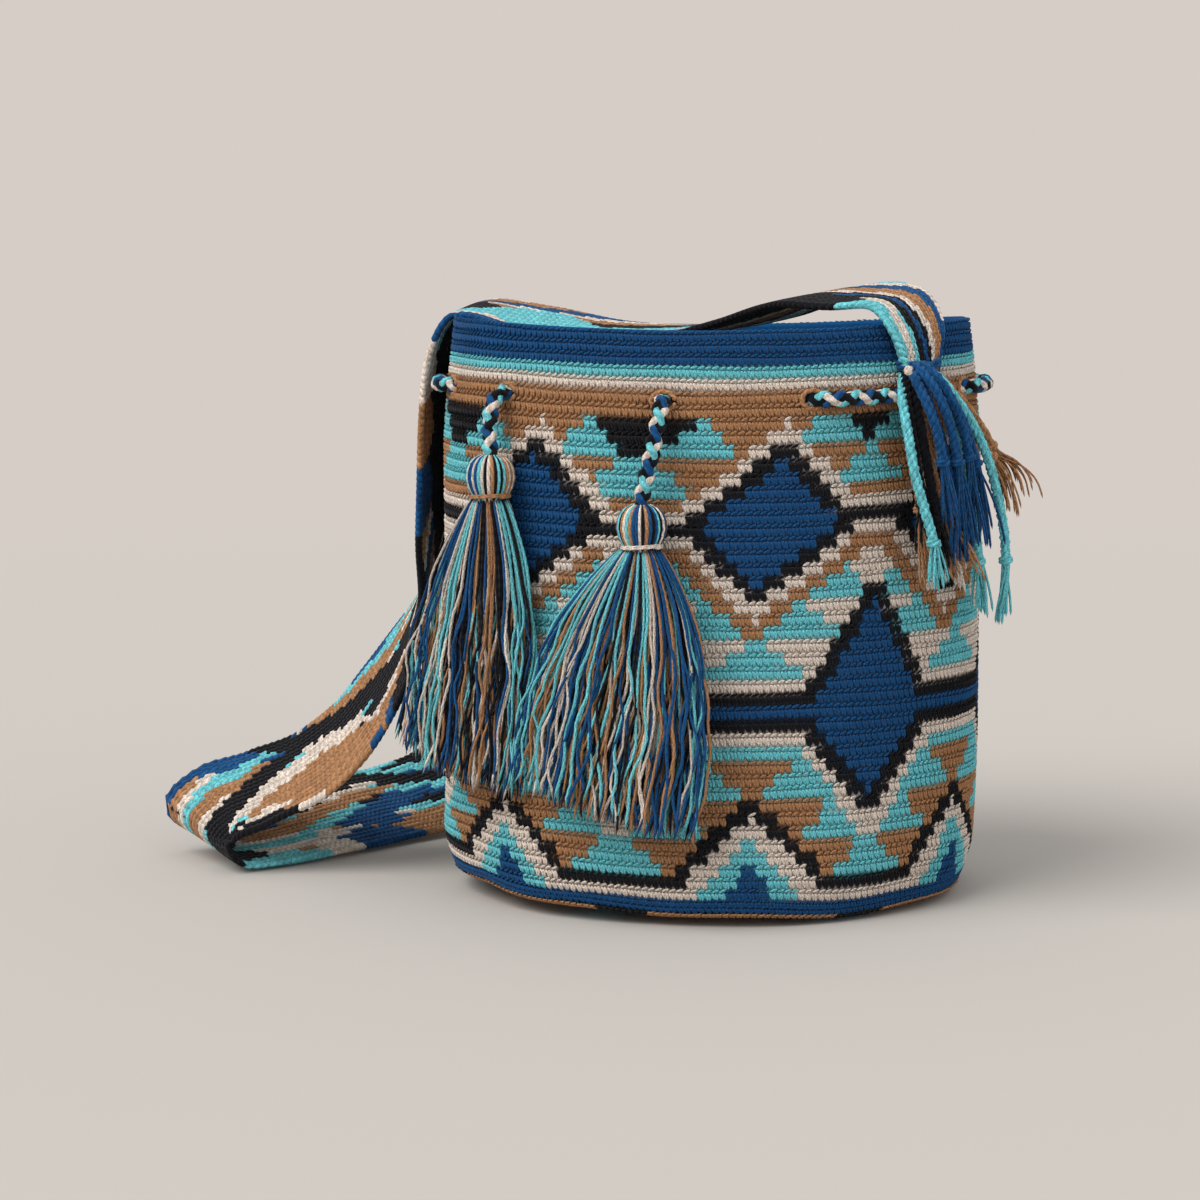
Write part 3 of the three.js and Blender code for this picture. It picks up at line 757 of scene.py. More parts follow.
@dataclass(frozen=True)
class Pattern:
    """The tapestry pattern: plain rounds, and stepped diamonds and triangles that repeat round the bag."""

    stitches: int = 222
    courses: int = 46
    top_rounds: int = 5
    upper_last: int = 19
    upper_diamonds: tuple[float, ...] = (0.0, 31.5, 70.5, 109.3, 148.0, 186.8)
    upper_triangles: tuple[float, ...] = (51.0, 89.9, 128.6, 168.9, 202.3)
    lower_diamonds: tuple[float, ...] = (0.0, 34.4, 72.0, 109.7, 147.3, 185.0)

    def rounds(self) -> dict[int, Yarn]:
        """The yarn that fills each course between the figures.

        Returns:
            The yarn by course number.
        """
        bands = [
            (-4, -2, Yarn.BLUE),
            (-1, -1, Yarn.TURQUOISE),
            (0, 0, Yarn.CREAM),
            (1, 9, Yarn.TAN),
            (10, 10, Yarn.CREAM),
            (11, 11, Yarn.BLACK),
            (12, 12, Yarn.CREAM),
            (13, 13, Yarn.TAN),
            (14, 16, Yarn.TURQUOISE),
            (17, 23, Yarn.CREAM),
            (24, 24, Yarn.BLACK),
            (25, 25, Yarn.BLUE),
            (26, 26, Yarn.BLACK),
            (27, 27, Yarn.CREAM),
            (28, 37, Yarn.TURQUOISE),
            (38, 38, Yarn.BLACK),
            (39, 39, Yarn.CREAM),
            (40, 41, Yarn.BLUE),
        ]
        return {course: yarn for first, last, yarn in bands for course in range(first, last + 1)}

    def figures(self) -> list[Motif]:
        """The figures, each drawn over those before it.

        Returns:
            The figures, from the first drawn to the last.
        """
        d, t, s = Axis.DIAMOND, Axis.TRIANGLE, Axis.SMALL_TRIANGLE
        blue, turquoise, cream = Yarn.BLUE, Yarn.TURQUOISE, Yarn.CREAM
        tan, black = Yarn.TAN, Yarn.BLACK
        return [
            Motif(turquoise, t, 3, 5, 9, 2),
            Motif(black, t, 3, 5, 7, -2),
            Motif(turquoise, t, 6, 8, 3, 2),
            Motif(turquoise, s, 3, 4, 9, 1),
            Motif(black, s, 3, 4, 3.2, -2),
            Motif(turquoise, s, 5, 7, 1.2, 2),
            Motif(cream, s, 9, 9, 20, 0),
            Motif(black, s, 10, 10, 20, 0),
            Motif(cream, s, 11, 11, 20, 0),
            Motif(tan, s, 12, 12, 20, 0),
            Motif(cream, t, 13, 15, 5, -1.5),
            Motif(black, t, 16, 16, 2, 0),
            Motif(turquoise, d, 17, 19, 7.5, 2.5),
            Motif(tan, d, 13, 19, 13.5, -2),
            Motif(cream, d, 3, 9, 0.5, 2),
            Motif(cream, d, 12, 18, 12.5, -2),
            Motif(black, d, 5, 10, 1.6, 2.05),
            Motif(black, d, 11, 16, 11.8, -2),
            Motif(blue, d, 6, 10, 0.6, 2.08),
            Motif(blue, d, 11, 15, 8.9, -2),
            Motif(turquoise, d, 20, 22, 1.5, 2.6),
            Motif(black, t, 17, 23, 2.9, 1.08),
            Motif(blue, t, 17, 24, 0.6, 1.05),
            Motif(cream, t, 28, 31, 10.4, -1.5),
            Motif(black, t, 27, 31, 9.3, -1.45),
            Motif(blue, t, 26, 31, 7.8, -1.4),
            Motif(tan, d, 29, 31, 5.5, -2),
            Motif(tan, d, 32, 34, 11.5, -2.2),
            Motif(tan, d, 35, 37, 16, -2),
            Motif(turquoise, t, 32, 32, 7, 0),
            Motif(cream, t, 32, 34, 5, -1.6),
            Motif(black, t, 32, 32, 2, 0),
            Motif(turquoise, t, 35, 35, 2, 0),
            Motif(black, d, 32, 36, 1.5, 1.9),
            Motif(black, d, 37, 37, 10, 0),
            Motif(cream, d, 33, 37, 0.6, 1.85),
            Motif(cream, d, 38, 38, 9, 0),
            Motif(turquoise, d, 35, 39, 1.2, 1.45),
            Motif(blue, d, 37, 39, 1, 1),
            Motif(black, t, 42, 42, 4, 0),
        ]

    def axes(self, course: int) -> dict[Axis, np.ndarray]:
        """Where the axes of each kind stand in a course, in stitches from the bag's front.

        Single crochet leans a little as it rises, so the figures lean with it. The rounds don't divide evenly,
        so the repeats differ in width.

        Args:
            course: the course's number, from the mouth.

        Returns:
            The places by kind of axis.
        """
        upper = np.interp(course, [4, 10, 16, 22], [10.3, 8.1, 6.0, 5.0])
        lower = np.interp(course, [17, 24, 38], [6.2, 5.5, 5.2])
        above = upper + np.array(self.upper_diamonds)
        below = lower + np.array(self.lower_diamonds)
        between = (below + np.append(below[1:], below[0] + self.stitches)) / 2
        return {
            Axis.DIAMOND: above if course <= self.upper_last else below,
            Axis.TRIANGLE: upper + np.array(self.upper_triangles) if course <= 12 else between,
            Axis.SMALL_TRIANGLE: np.array([22.8 if course <= self.upper_last else 1e6]),
        }

    def colours(self, course: int) -> list[Yarn]:
        """The yarn of every stitch of a course, from the bag's front on.

        Args:
            course: the course's number, from the mouth.

        Returns:
            One yarn a stitch.
        """
        offsets = {}
        stitch = np.arange(self.stitches) + 0.5 * (course % 2)
        for kind, places in self.axes(course).items():
            apart = stitch[:, None] - places[None, :]
            apart = np.abs((apart + self.stitches / 2) % self.stitches - self.stitches / 2)
            offsets[kind] = apart.min(axis=1)
        chosen = [self.rounds().get(course, Yarn.TAN)] * self.stitches
        for figure in self.figures():
            for i in np.flatnonzero(figure.covers(course, offsets)):
                chosen[i] = figure.yarn
        return chosen


@dataclass
class Crochet:
    """The bag's fabric: a backing wall with every stitch of every course laid on it."""

    form: BagForm
    pattern: Pattern
    shelf: YarnShelf
    tree: bpy.types.NodeTree
    first_course: int = -4
    base_rings: int = 13
    base_stitch_height: float = 2.2 * MM
    base_wall_height: float = 2.6 * MM
    leg_radius: float = 0.86 * MM
    bead_radius: float = 0.60 * MM
    backing_out: float = 0.9 * MM
    stitch_out: float = 1.25 * MM
    eyelet_reach: tuple[float, float] = (5.4 * MM, 4.3 * MM)
    eyelet_radius: float = 3.6 * MM
    plain_height: float = 5.25 * MM
    lowest_figure: float = 10.2 * MM
    edge_heights: tuple[float, ...] = (8.7 * MM, 6.0 * MM, 2.9 * MM)

    @property
    def course_height(self) -> float:
        """The height of one course of the pattern."""
        top = self.form.height - self.pattern.top_rounds * self.plain_height
        return (top - self.lowest_figure) / (self.pattern.courses - self.pattern.top_rounds - 2)

    def height_of(self, index: int, share: float = 0.5) -> float:
        """The height of a place in a course, counted from the mouth, by its share from the course's top.

        Args:
            index: the course's number.
            share: how far down it.

        Returns:
            The height.
        """
        rounds = self.pattern.top_rounds
        if index < rounds:
            return self.form.height - (index + share) * self.plain_height
        if index < self.pattern.courses - 2:
            top = self.form.height - rounds * self.plain_height
            return top - (index - rounds + share) * self.course_height
        return self.edge_heights[index - self.pattern.courses + 2]

    def stitch_piece(self) -> bpy.types.Object:
        """One single crochet seen from its front: the top loop's strand, and the stitch's two legs.

        Returns:
            The small piece that every stitch repeats.
        """
        h = self.course_height
        pitch = 2 * np.pi * 114.5 * MM / self.pattern.stitches
        buffer = MeshBuffer()
        out = np.array([0.0, 0.0, 1.0])
        bead = np.array([[-0.62, 0.20, -0.35], [-0.30, 0.29, 0.25], [0.22, 0.41, 0.35], [0.60, 0.50, -0.3]])
        buffer.add_tube(
            bead * [pitch, h, MM], np.array([0, 1.0, 0.95, 0]) * self.bead_radius, 4, flat=(out, 0.95)
        )
        legs = [
            [[-0.60, 0.20, -0.5], [-0.40, 0.06, 0.15], [-0.12, -0.28, 0.1], [0.04, -0.66, -0.55]],
            [[-0.10, 0.22, -0.5], [0.08, 0.04, 0.2], [0.22, -0.30, 0.12], [0.24, -0.70, -0.5]],
        ]
        for leg in legs:
            buffer.add_tube(
                np.array(leg) * [pitch, h, MM], np.array([0, 1.0, 0.92, 0]) * self.leg_radius, 4, flat=(out, 0.9)
            )
        return buffer.to_object("stitch_piece", [])

    def stitch_places(self) -> dict[Yarn, list]:
        """Where each stitch of the wall goes, sorted by yarn.

        Returns:
            Place, turn, size and shade of the stitches of each yarn.
        """
        angles = self.form.even_angles(self.pattern.stitches)
        gap = np.diff(np.append(angles, 2 * np.pi))
        chance = np.random.default_rng(5)
        sorted_places: dict[Yarn, list] = {yarn: [] for yarn in Yarn}
        for index in range(self.pattern.courses + 1):
            course = self.first_course + index
            z = self.height_of(index)
            under = index == self.pattern.courses
            angle = angles + gap * 0.5 * (course % 2)
            wave = 0.35 * MM * np.sin(3 * angle + 0.9 * index) + 0.2 * MM * np.sin(11 * angle + index)
            place = self.form.at(angle, z, self.stitch_out - (0.5 * MM if under else 0.0))
            place[:, 2] += wave * (0.0 if under else 1.0)
            above = self.form.at(angle, z + MM, self.stitch_out)
            below = self.form.at(angle, z - MM, self.stitch_out)
            up = unit(above - below)
            if under:
                up = unit(up + self.form.outward(angle) * 1.3)
            side = self.form.along(angle)
            out = unit(np.cross(side, up))
            side = np.cross(up, out)
            turns = eulers(side, up, out)
            speed = np.hypot(np.cos(angle) * self.form.width, np.sin(angle) * self.form.depth)
            stretch = speed / speed.mean() * float(self.form.girth(np.array(z)))
            shades = chance.random(len(angle))
            tall = 1.0 if index >= self.pattern.top_rounds else self.plain_height / self.course_height
            tall = 0.8 if index > self.pattern.courses - 3 else tall
            for i, yarn in enumerate(self.pattern.colours(course)):
                if not self.in_eyelet(angle[i], z):
                    sorted_places[yarn].append((place[i], turns[i], (stretch[i], tall, 1.0), shades[i]))
        return sorted_places

    def in_eyelet(self, angle: float, z: float) -> bool:
        """Whether a stitch would lie in one of the gaps that the drawstring passes through.

        Args:
            angle: round the bag.
            z: its height.

        Returns:
            True in a gap.
        """
        if abs(z - Drawstring.eyelet_height) > self.eyelet_reach[1]:
            return False
        for degrees in Drawstring.eyelets:
            turn = (angle - math.radians(degrees) + math.pi) % (2 * math.pi) - math.pi
            speed = math.hypot(self.form.width / 2 * math.cos(angle), self.form.depth / 2 * math.sin(angle))
            across = turn * speed / self.eyelet_reach[0]
            up = (z - Drawstring.eyelet_height) / self.eyelet_reach[1]
            if across**2 + up**2 < 1:
                return True
        return False

    def base_places(self) -> dict[Yarn, list]:
        """Where the stitches of the base's flat spiral go, on its underside.

        Returns:
            Place, turn, size and shade of the stitches of each yarn.
        """
        sorted_places: dict[Yarn, list] = {yarn: [] for yarn in Yarn}
        chance = np.random.default_rng(6)
        rings = self.base_rings
        scale_at_edge = float(self.form.girth(np.array(0.0)))
        lowest = self.base_stitch_height
        for ring in range(1, rings + 1):
            share = ring / (rings + 0.5) * scale_at_edge
            count = max(6, round(self.pattern.stitches * 0.72 * ring / (rings + 0.5)))
            for i in range(count):
                angle = 2 * np.pi * (i + 0.5 * (ring % 2)) / count
                place = np.array(
                    [
                        np.sin(angle) * self.form.width / 2 * share,
                        -np.cos(angle) * self.form.depth / 2 * share,
                        lowest + float(self.form.lift(np.array(angle), np.array(0.0))) * (ring / rings) ** 5,
                    ]
                )
                spoke = unit(np.array([place[0], place[1], 0.0]))
                down = np.array([0.0, 0.0, -1.0])
                side = np.cross(spoke, down)
                turn = eulers(side[None], spoke[None], down[None])[0]
                yarn = self.base_yarn(ring, rings, angle)
                sorted_places[yarn].append((place, turn, (1.45, 1.4, 0.7), chance.random()))
        return sorted_places

    def base_yarn(self, ring: int, rings: int, angle: float) -> Yarn:
        """The base's own colours: tan with small black steps, and a blue heart.

        Args:
            ring: which round, from the middle.
            rings: how many there are.
            angle: round the base.

        Returns:
            The yarn there.
        """
        if ring <= 3:
            return Yarn.BLUE
        if ring == 4:
            return Yarn.CREAM
        wedge = (angle / (2 * np.pi) * 6) % 1.0
        wide = 0.12 + 0.30 * (ring - 5) / (rings - 5)
        if abs(wedge - 0.5) < wide * 0.5:
            return Yarn.BLACK if abs(wedge - 0.5) > wide * 0.28 else Yarn.TURQUOISE
        return Yarn.TAN

    def lay(self, name: str, places: dict[Yarn, list], unevenness: float) -> list[bpy.types.Object]:
        """Lays the stitches of each yarn as a piece of its own.

        Args:
            name: what the pieces' names begin with.
            places: the stitches of each yarn.
            unevenness: how much they differ.

        Returns:
            One piece a yarn.
        """
        made = []
        for yarn, rows in places.items():
            if not rows:
                continue
            piece = self.stitch_piece()
            source = points_object(
                "stitch_points",
                np.array([row[0] for row in rows]),
                np.array([row[1] for row in rows]),
                np.array([row[2] for row in rows]),
                np.array([row[3] for row in rows]),
            )
            laid = grow(
                source,
                self.tree,
                f"{name}_{yarn.name.lower()}",
                Piece=piece,
                Material=self.shelf.of(yarn),
                Unevenness=unevenness,
                Size_spread=0.05,
            )
            bpy.data.objects.remove(piece)
            made.append(laid)
        return made

    def backing(self) -> bpy.types.Object:
        """The wall behind the stitches, whose inside shows the courses from within.

        Returns:
            The closed wall.
        """
        form = self.form
        columns = self.pattern.stitches // 2
        angles = form.even_angles(columns)
        rings = []
        colours = []
        # black stands in as painted shade behind the base stitches
        black = np.array([*Yarn.BLACK.value, 1.0])

        def add(points: np.ndarray, yarns: list) -> None:
            """Adds a ring of points and its yarns; a ring with no yarn is coloured black, painted shade."""
            rings.append(points)
            step = len(yarns) // columns
            colours.append(np.array([[*y.value, 1.0] if y else black for y in yarns[::step]]))

        inner = -form.wall / 2
        rows = self.pattern.courses
        radial = [0.02, 0.25, 0.5, 0.75, 0.93]
        # The backing's underside, behind the base stitches, is coloured black: painted shade in the gaps between the
        # stitches.
        underside = [None] * columns
        for share in radial:
            ring = form.at(angles, 0.0, 0.0)
            add(np.column_stack([ring[:, :2] * share, self.base_wall_height + ring[:, 2] * share**5]), underside)
        for index in range(rows - 1, -1, -1):
            yarns = self.pattern.colours(self.first_course + index)
            add(form.at(angles, max(self.height_of(index), self.base_wall_height), self.backing_out), yarns)
        top = self.pattern.colours(self.first_course)
        add(form.at(angles, form.height - 0.5 * MM, 0.5 * MM), top)
        add(form.at(angles, form.height, -0.6 * MM), top)
        for index in range(rows - 1):
            yarns = self.pattern.colours(self.first_course + index)
            z = self.height_of(index, 0.32)
            if z - 0.55 * self.course_height > form.floor + 3 * MM:
                add(form.at(angles, z, inner - 0.35 * MM), yarns)
                add(form.at(angles, z - 0.55 * self.course_height, inner + 0.5 * MM), yarns)
        floor_yarns = [Yarn.TAN] * columns
        for share in reversed(radial):
            ring = form.at(angles, form.floor, inner)
            height = form.floor + MM + form.lift(angles, 0.0) * share**5
            add(np.column_stack([ring[:, :2] * share, height]), floor_yarns)
        points = np.vstack(rings)
        faces = []
        for r in range(len(rings) - 1):
            for i in range(columns):
                j = (i + 1) % columns
                a, b = r * columns + i, r * columns + j
                faces.append((a, b, b + columns, a + columns))
        faces.append(tuple(reversed(range(columns))))
        last = (len(rings) - 1) * columns
        faces.append(tuple(last + i for i in range(columns)))
        mesh = bpy.data.meshes.new("crochet_wall")
        mesh.from_pydata(points.tolist(), [], faces)
        tint = mesh.attributes.new("yarn", "FLOAT_COLOR", "POINT")
        tint.data.foreach_set("color", np.vstack(colours).astype(np.float32).ravel())
        mesh.polygons.foreach_set("use_smooth", np.ones(len(mesh.polygons), bool))
        mesh.materials.append(WallFinish().build())
        mesh.update()
        return add_object("crochet_wall", mesh)

    def with_eyelets(self, wall: bpy.types.Object) -> bpy.types.Object:
        """Opens the gaps for the drawstring in the backing wall, and paints the wall round each gap a dark tan:
        painted shade.

        Args:
            wall: the closed wall.

        Returns:
            The wall with its gaps.
        """
        cutter = MeshBuffer()
        for degrees in Drawstring.eyelets:
            angle = np.array(math.radians(degrees))
            middle = self.form.at(angle, Drawstring.eyelet_height, 0.0)
            out, side = self.form.outward(angle), self.form.along(angle)
            steps = np.array([-7.0, -6.9, 6.9, 7.0]) * MM
            path = middle + steps[:, None] * out
            cutter.add_tube(path, np.array([0.0, 1.0, 1.0, 0.0]) * self.eyelet_radius, 14)
            ring = cutter.verts[-1]
            apart = ring - middle
            cutter.verts[-1] = ring + np.outer(apart @ side, side) * 0.3
        tool = cutter.to_object("eyelet_tool", [])
        cut = wall.modifiers.new("eyelets", "BOOLEAN")
        cut.object = tool
        cut.operation = "DIFFERENCE"
        cut.solver = "EXACT"
        graph = bpy.context.evaluated_depsgraph_get()
        opened = bpy.data.meshes.new_from_object(wall.evaluated_get(graph))
        wall.modifiers.clear()
        wall.data = opened
        bpy.data.objects.remove(tool)
        corners = np.array([v.co for v in opened.vertices])
        tint = opened.attributes["yarn"]
        shown = np.zeros(len(tint.data) * 4, np.float32)
        tint.data.foreach_get("color", shown)
        shown = shown.reshape(-1, 4)
        where = corners
        if tint.domain == "CORNER":
            where = corners[[loop.vertex_index for loop in opened.loops]]
        # Painted shade: the wall round each eyelet, and the cut faces in it, are painted a dark tan, a quarter as
        # bright as the tan yarn.
        for degrees in Drawstring.eyelets:
            middle = self.form.at(math.radians(degrees), Drawstring.eyelet_height, 0.0)
            near = np.linalg.norm((where - middle) * [1.0, 1.0, 1.4], axis=1) < 9.5 * MM
            shown[near] = [*(0.25 * np.array(Yarn.TAN.value)), 1.0]
        tint.data.foreach_set("color", shown.ravel())
        return wall

    def eyelet_edges(self) -> bpy.types.Object:
        """Lays the yarn that borders each eyelet, where the worked-over chain stitches turn round it.

        Returns:
            All the borders as one piece.
        """
        buffer = MeshBuffer()
        chance = np.random.default_rng(9)
        for degrees in Drawstring.eyelets:
            angle = np.array(math.radians(degrees))
            middle = self.form.at(angle, Drawstring.eyelet_height, 2.1 * MM)
            side, out = self.form.along(angle), self.form.outward(angle)
            for half_width, half_height, lift, radius in ((5.3, 4.1, -0.3, 1.0), (5.6, 4.4, -1.9, 1.0)):
                turn = np.linspace(0.0, 2 * np.pi * 0.985, 40)
                wave = 1.0 + 0.03 * np.sin(9 * turn + chance.uniform(0, 6))
                path = (
                    middle
                    + np.outer(np.cos(turn) * half_width * wave, side) * MM
                    + np.outer(np.sin(turn) * half_height * wave, [0.0, 0.0, 1.0]) * MM
                    + out * lift * MM
                )
                buffer.add_tube(path, radius * MM, 7, chance.random())
        return buffer.to_object("eyelet_edges", [self.shelf.of(Yarn.TAN)])

    def build(self) -> list[bpy.types.Object]:
        """Makes the fabric and lets it stand for the bag's solid.

        Returns:
            The pieces of the fabric.
        """
        wall = self.with_eyelets(self.backing())
        wall_stitches = self.stitch_places()
        for yarn, rows in self.base_places().items():
            wall_stitches[yarn].extend(rows)
        stitches = [*self.lay("stitches", wall_stitches, 0.07), self.eyelet_edges()]
        for piece in [wall, *stitches]:
            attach(piece, BODY)
            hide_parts("bag_body")
            log.info("%s: %d faces", piece.name, len(piece.data.polygons))
        return [wall, *stitches]


@dataclass(frozen=True)
class TasselForm:
    """Where a tassel hangs and how wide its skirt spreads."""

    name: str
    neck_angle: float
    neck_height: float
    foot_angle: float
    foot_height: float
    across: tuple[float, float, float]
    half_width: float
    slope: float
    seed: int
    binding: Yarn
    head_height: float = 20 * MM
    head_radius: float = 11 * MM
    skirt_length: float = 136 * MM

    def neck(self, form: BagForm) -> np.ndarray:
        """The middle of its neck."""
        return form.at(math.radians(self.neck_angle), self.neck_height, 14.2 * MM)

    def foot(self, form: BagForm) -> np.ndarray:
        """The middle of its skirt's lower edge, before the edge is levelled."""
        return form.at(math.radians(self.foot_angle), self.foot_height, 13.9 * MM)

    def top(self, form: BagForm) -> np.ndarray:
        """The top of its head, where the drawstring goes in."""
        return self.neck(form) + np.array([0.0, 0.0, self.head_height])


LEFT_TASSEL = TasselForm(
    "tassel_left", -46, 193 * MM, -57, 65 * MM, (0.86, -0.5, 0), 37 * MM, 0.15, 3, Yarn.TAN, skirt_length=142 * MM
)
RIGHT_TASSEL = TasselForm(
    "tassel_right", -13, 174 * MM, -21, 46 * MM, (0.96, -0.28, 0), 45.5 * MM, 0.2, 4, Yarn.CREAM
)


@dataclass
class Tassel:
    """One tassel: a head of yarns over a ball, a wound neck, and a skirt of loose wavy yarns."""

    form: BagForm
    shape: TasselForm
    shelf: YarnShelf
    strands: int = 292
    steps: int = 22
    yarn_radius: float = 0.70 * MM

    def palette(self, across: float, chance: Chance) -> Yarn:
        """The yarn of a strand at a place across the skirt: each colour has its own locks.

        Args:
            across: the place across the skirt, from -1 to 1.
            chance: the source of its unevenness.

        Returns:
            The yarn.
        """
        locks = [Yarn.BLUE, Yarn.CREAM, Yarn.TURQUOISE, Yarn.TAN, Yarn.BLACK, Yarn.TAN, Yarn.BLUE, Yarn.TURQUOISE]
        if chance.random() < 0.26:
            share = (across + 1.0) / 2.0 * (len(locks) - 1) + chance.normal(0.0, 0.7)
            return locks[int(np.clip(round(share), 0, len(locks) - 1))]
        weights = [0.25, 0.24, 0.17, 0.22, 0.12]
        return list(Yarn)[int(chance.choice(5, p=weights))]

    def keep_outside(self, points: np.ndarray, distance: float) -> np.ndarray:
        """Pushes points out until they stand a distance off the wall."""
        angle = np.arctan2(points[:, 0] / self.form.width, -points[:, 1] / self.form.depth)
        wall = self.form.at(angle, points[:, 2], 0.0)
        out = self.form.outward(angle)
        short = distance - ((points - wall) * out).sum(axis=1)
        return points + out * np.maximum(short, 0.0)[:, None]

    def frame(self) -> tuple[np.ndarray, np.ndarray]:
        """The level directions across the skirt and through it."""
        across = unit(np.array(self.shape.across))
        return across, np.cross([0.0, 0.0, 1.0], across)

    def skirt_strand(self, angle: float, depth: float, chance: Chance) -> np.ndarray:
        """The path of one strand from under the binding to its cut end.

        Args:
            angle: round the neck.
            depth: how far out in the bundle, from 0 to 1.
            chance: the source of its unevenness.

        Returns:
            Points along it.
        """
        shape = self.shape
        across, deep = self.frame()
        share = np.linspace(0.0, 1.0, self.steps)
        spread = 1 - (1 - share) ** 3.1
        u, v = math.cos(angle) * depth, math.sin(angle) * depth
        centre = shape.neck(self.form) * (1 - share)[:, None] + shape.foot(self.form) * share[:, None]
        length = 1.0 - shape.slope * (0.5 - 0.5 * u) - 0.03 * u * u + chance.normal(0.0, 0.016)
        centre[:, 2] = shape.neck(self.form)[2] + 3 * MM - shape.skirt_length * share * min(length, 1.0)
        half = 7.2 * MM + (shape.half_width - 8.5 * MM) * spread
        thick = 7.0 * MM + 1.5 * MM * share
        path = centre + across * (u * half)[:, None] + deep * (v * thick)[:, None]
        run = share * shape.skirt_length
        for direction, size in ((across, 1.9 * MM), (deep, 1.0 * MM)):
            for wave in (64 * MM, 38 * MM, 25 * MM):
                phase = chance.uniform(0, 2 * np.pi)
                grown = smoothstep(share, 0.08, 0.6) * size * (wave / (64 * MM)) ** 1.3
                sway = np.sin(run / wave * 2 * np.pi * chance.uniform(0.85, 1.2) + phase)
                path = path + direction * (grown * sway * chance.uniform(0.4, 1.1))[:, None]
        flick = chance.normal(0.0, 1.8 * MM)
        path = path + across * (smoothstep(share, 0.8, 1.0) * flick)[:, None]
        return self.keep_outside(path, 4.4 * MM + abs(v) * 1.5 * MM)

    def head_strand(self, turn: float) -> np.ndarray:
        """The path of one yarn over the head, from the top down to the binding.

        Args:
            turn: round the head.

        Returns:
            Points along it.
        """
        across, deep = self.frame()
        height = np.array([1.0, 0.99, 0.93, 0.82, 0.66, 0.5, 0.34, 0.2, 0.1, -0.05])
        width = np.array([0.28, 0.4, 0.66, 0.87, 0.98, 1.0, 0.93, 0.8, 0.68, 0.62])
        radial = across * math.cos(turn) + deep * math.sin(turn)
        centre = self.shape.neck(self.form)
        rise = height[:, None] * np.array([0.0, 0.0, self.shape.head_height])
        return centre + rise + radial * (width * (self.shape.head_radius - 0.7 * MM))[:, None]

    def build(self) -> bpy.types.Object:
        """Makes the head and the skirt as one piece in all five yarns.

        Returns:
            The piece.
        """
        chance = np.random.default_rng(self.shape.seed)
        buffer = MeshBuffer()
        yarns = list(Yarn)
        core = np.array([self.shape.top(self.form), self.shape.neck(self.form) - np.array([0, 0, 6 * MM])])
        core = np.vstack([core[0] + (core[1] - core[0]) * t for t in np.linspace(0.02, 1.0, 12)])
        swell = np.array([0.3, 0.55, 0.75, 0.88, 0.92, 0.9, 0.82, 0.74, 0.66, 0.6, 0.6, 0.5]) * 10 * MM
        buffer.add_tube(core, swell, 16, 0.2, yarns.index(Yarn.BLUE))
        last = None
        for i in range(42):
            turn = (i + chance.uniform(-0.2, 0.2)) / 42 * 2 * np.pi
            yarn = self.palette(chance.uniform(-1, 1), chance)
            if yarn is last:
                yarn = self.palette(chance.uniform(-1, 1), chance)
            last = yarn
            buffer.add_tube(self.head_strand(turn), 0.93 * MM, 5, chance.random(), yarns.index(yarn))
        for i in range(self.strands):
            angle = i * 2.399963
            depth = math.sqrt((i + 0.5) / self.strands)
            path = self.skirt_strand(angle, depth, chance)
            yarn = self.palette(math.cos(angle) * depth, chance)
            radius = self.yarn_radius * chance.uniform(0.85, 1.1)
            buffer.add_tube(path, radius, 4, chance.random(), yarns.index(yarn))
        made = buffer.to_object(f"{self.shape.name}_yarns", [self.shelf.of(yarn) for yarn in yarns])
        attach(made, BODY)
        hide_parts(self.shape.name)
        return made

    def build_binding(self) -> bpy.types.Object:
        """Winds the thin yarn round the neck, its end tucked up.

        Returns:
            The piece.
        """
        turns, per_turn = 2, 26
        wound = np.linspace(-0.6, turns * 2 * np.pi, turns * per_turn)
        across, deep = self.frame()
        rise = (np.linspace(1.2, 2.7, len(wound)) + 0.5 * np.cos(wound)) * MM
        radius = 8.85 * MM
        path = (
            self.shape.neck(self.form)
            + np.outer(np.cos(wound), across) * radius
            + np.outer(np.sin(wound), deep) * radius * 0.97
            + np.outer(rise, [0.0, 0.0, 1.0])
        )
        buffer = MeshBuffer()
        buffer.add_tube(path, 0.62 * MM, 6, 0.6)
        made = buffer.to_object(f"{self.shape.name}_wound_yarn", [self.shelf.of(self.shape.binding)])
        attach(made, BODY)
        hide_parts(f"{self.shape.name}_binding")
        return made


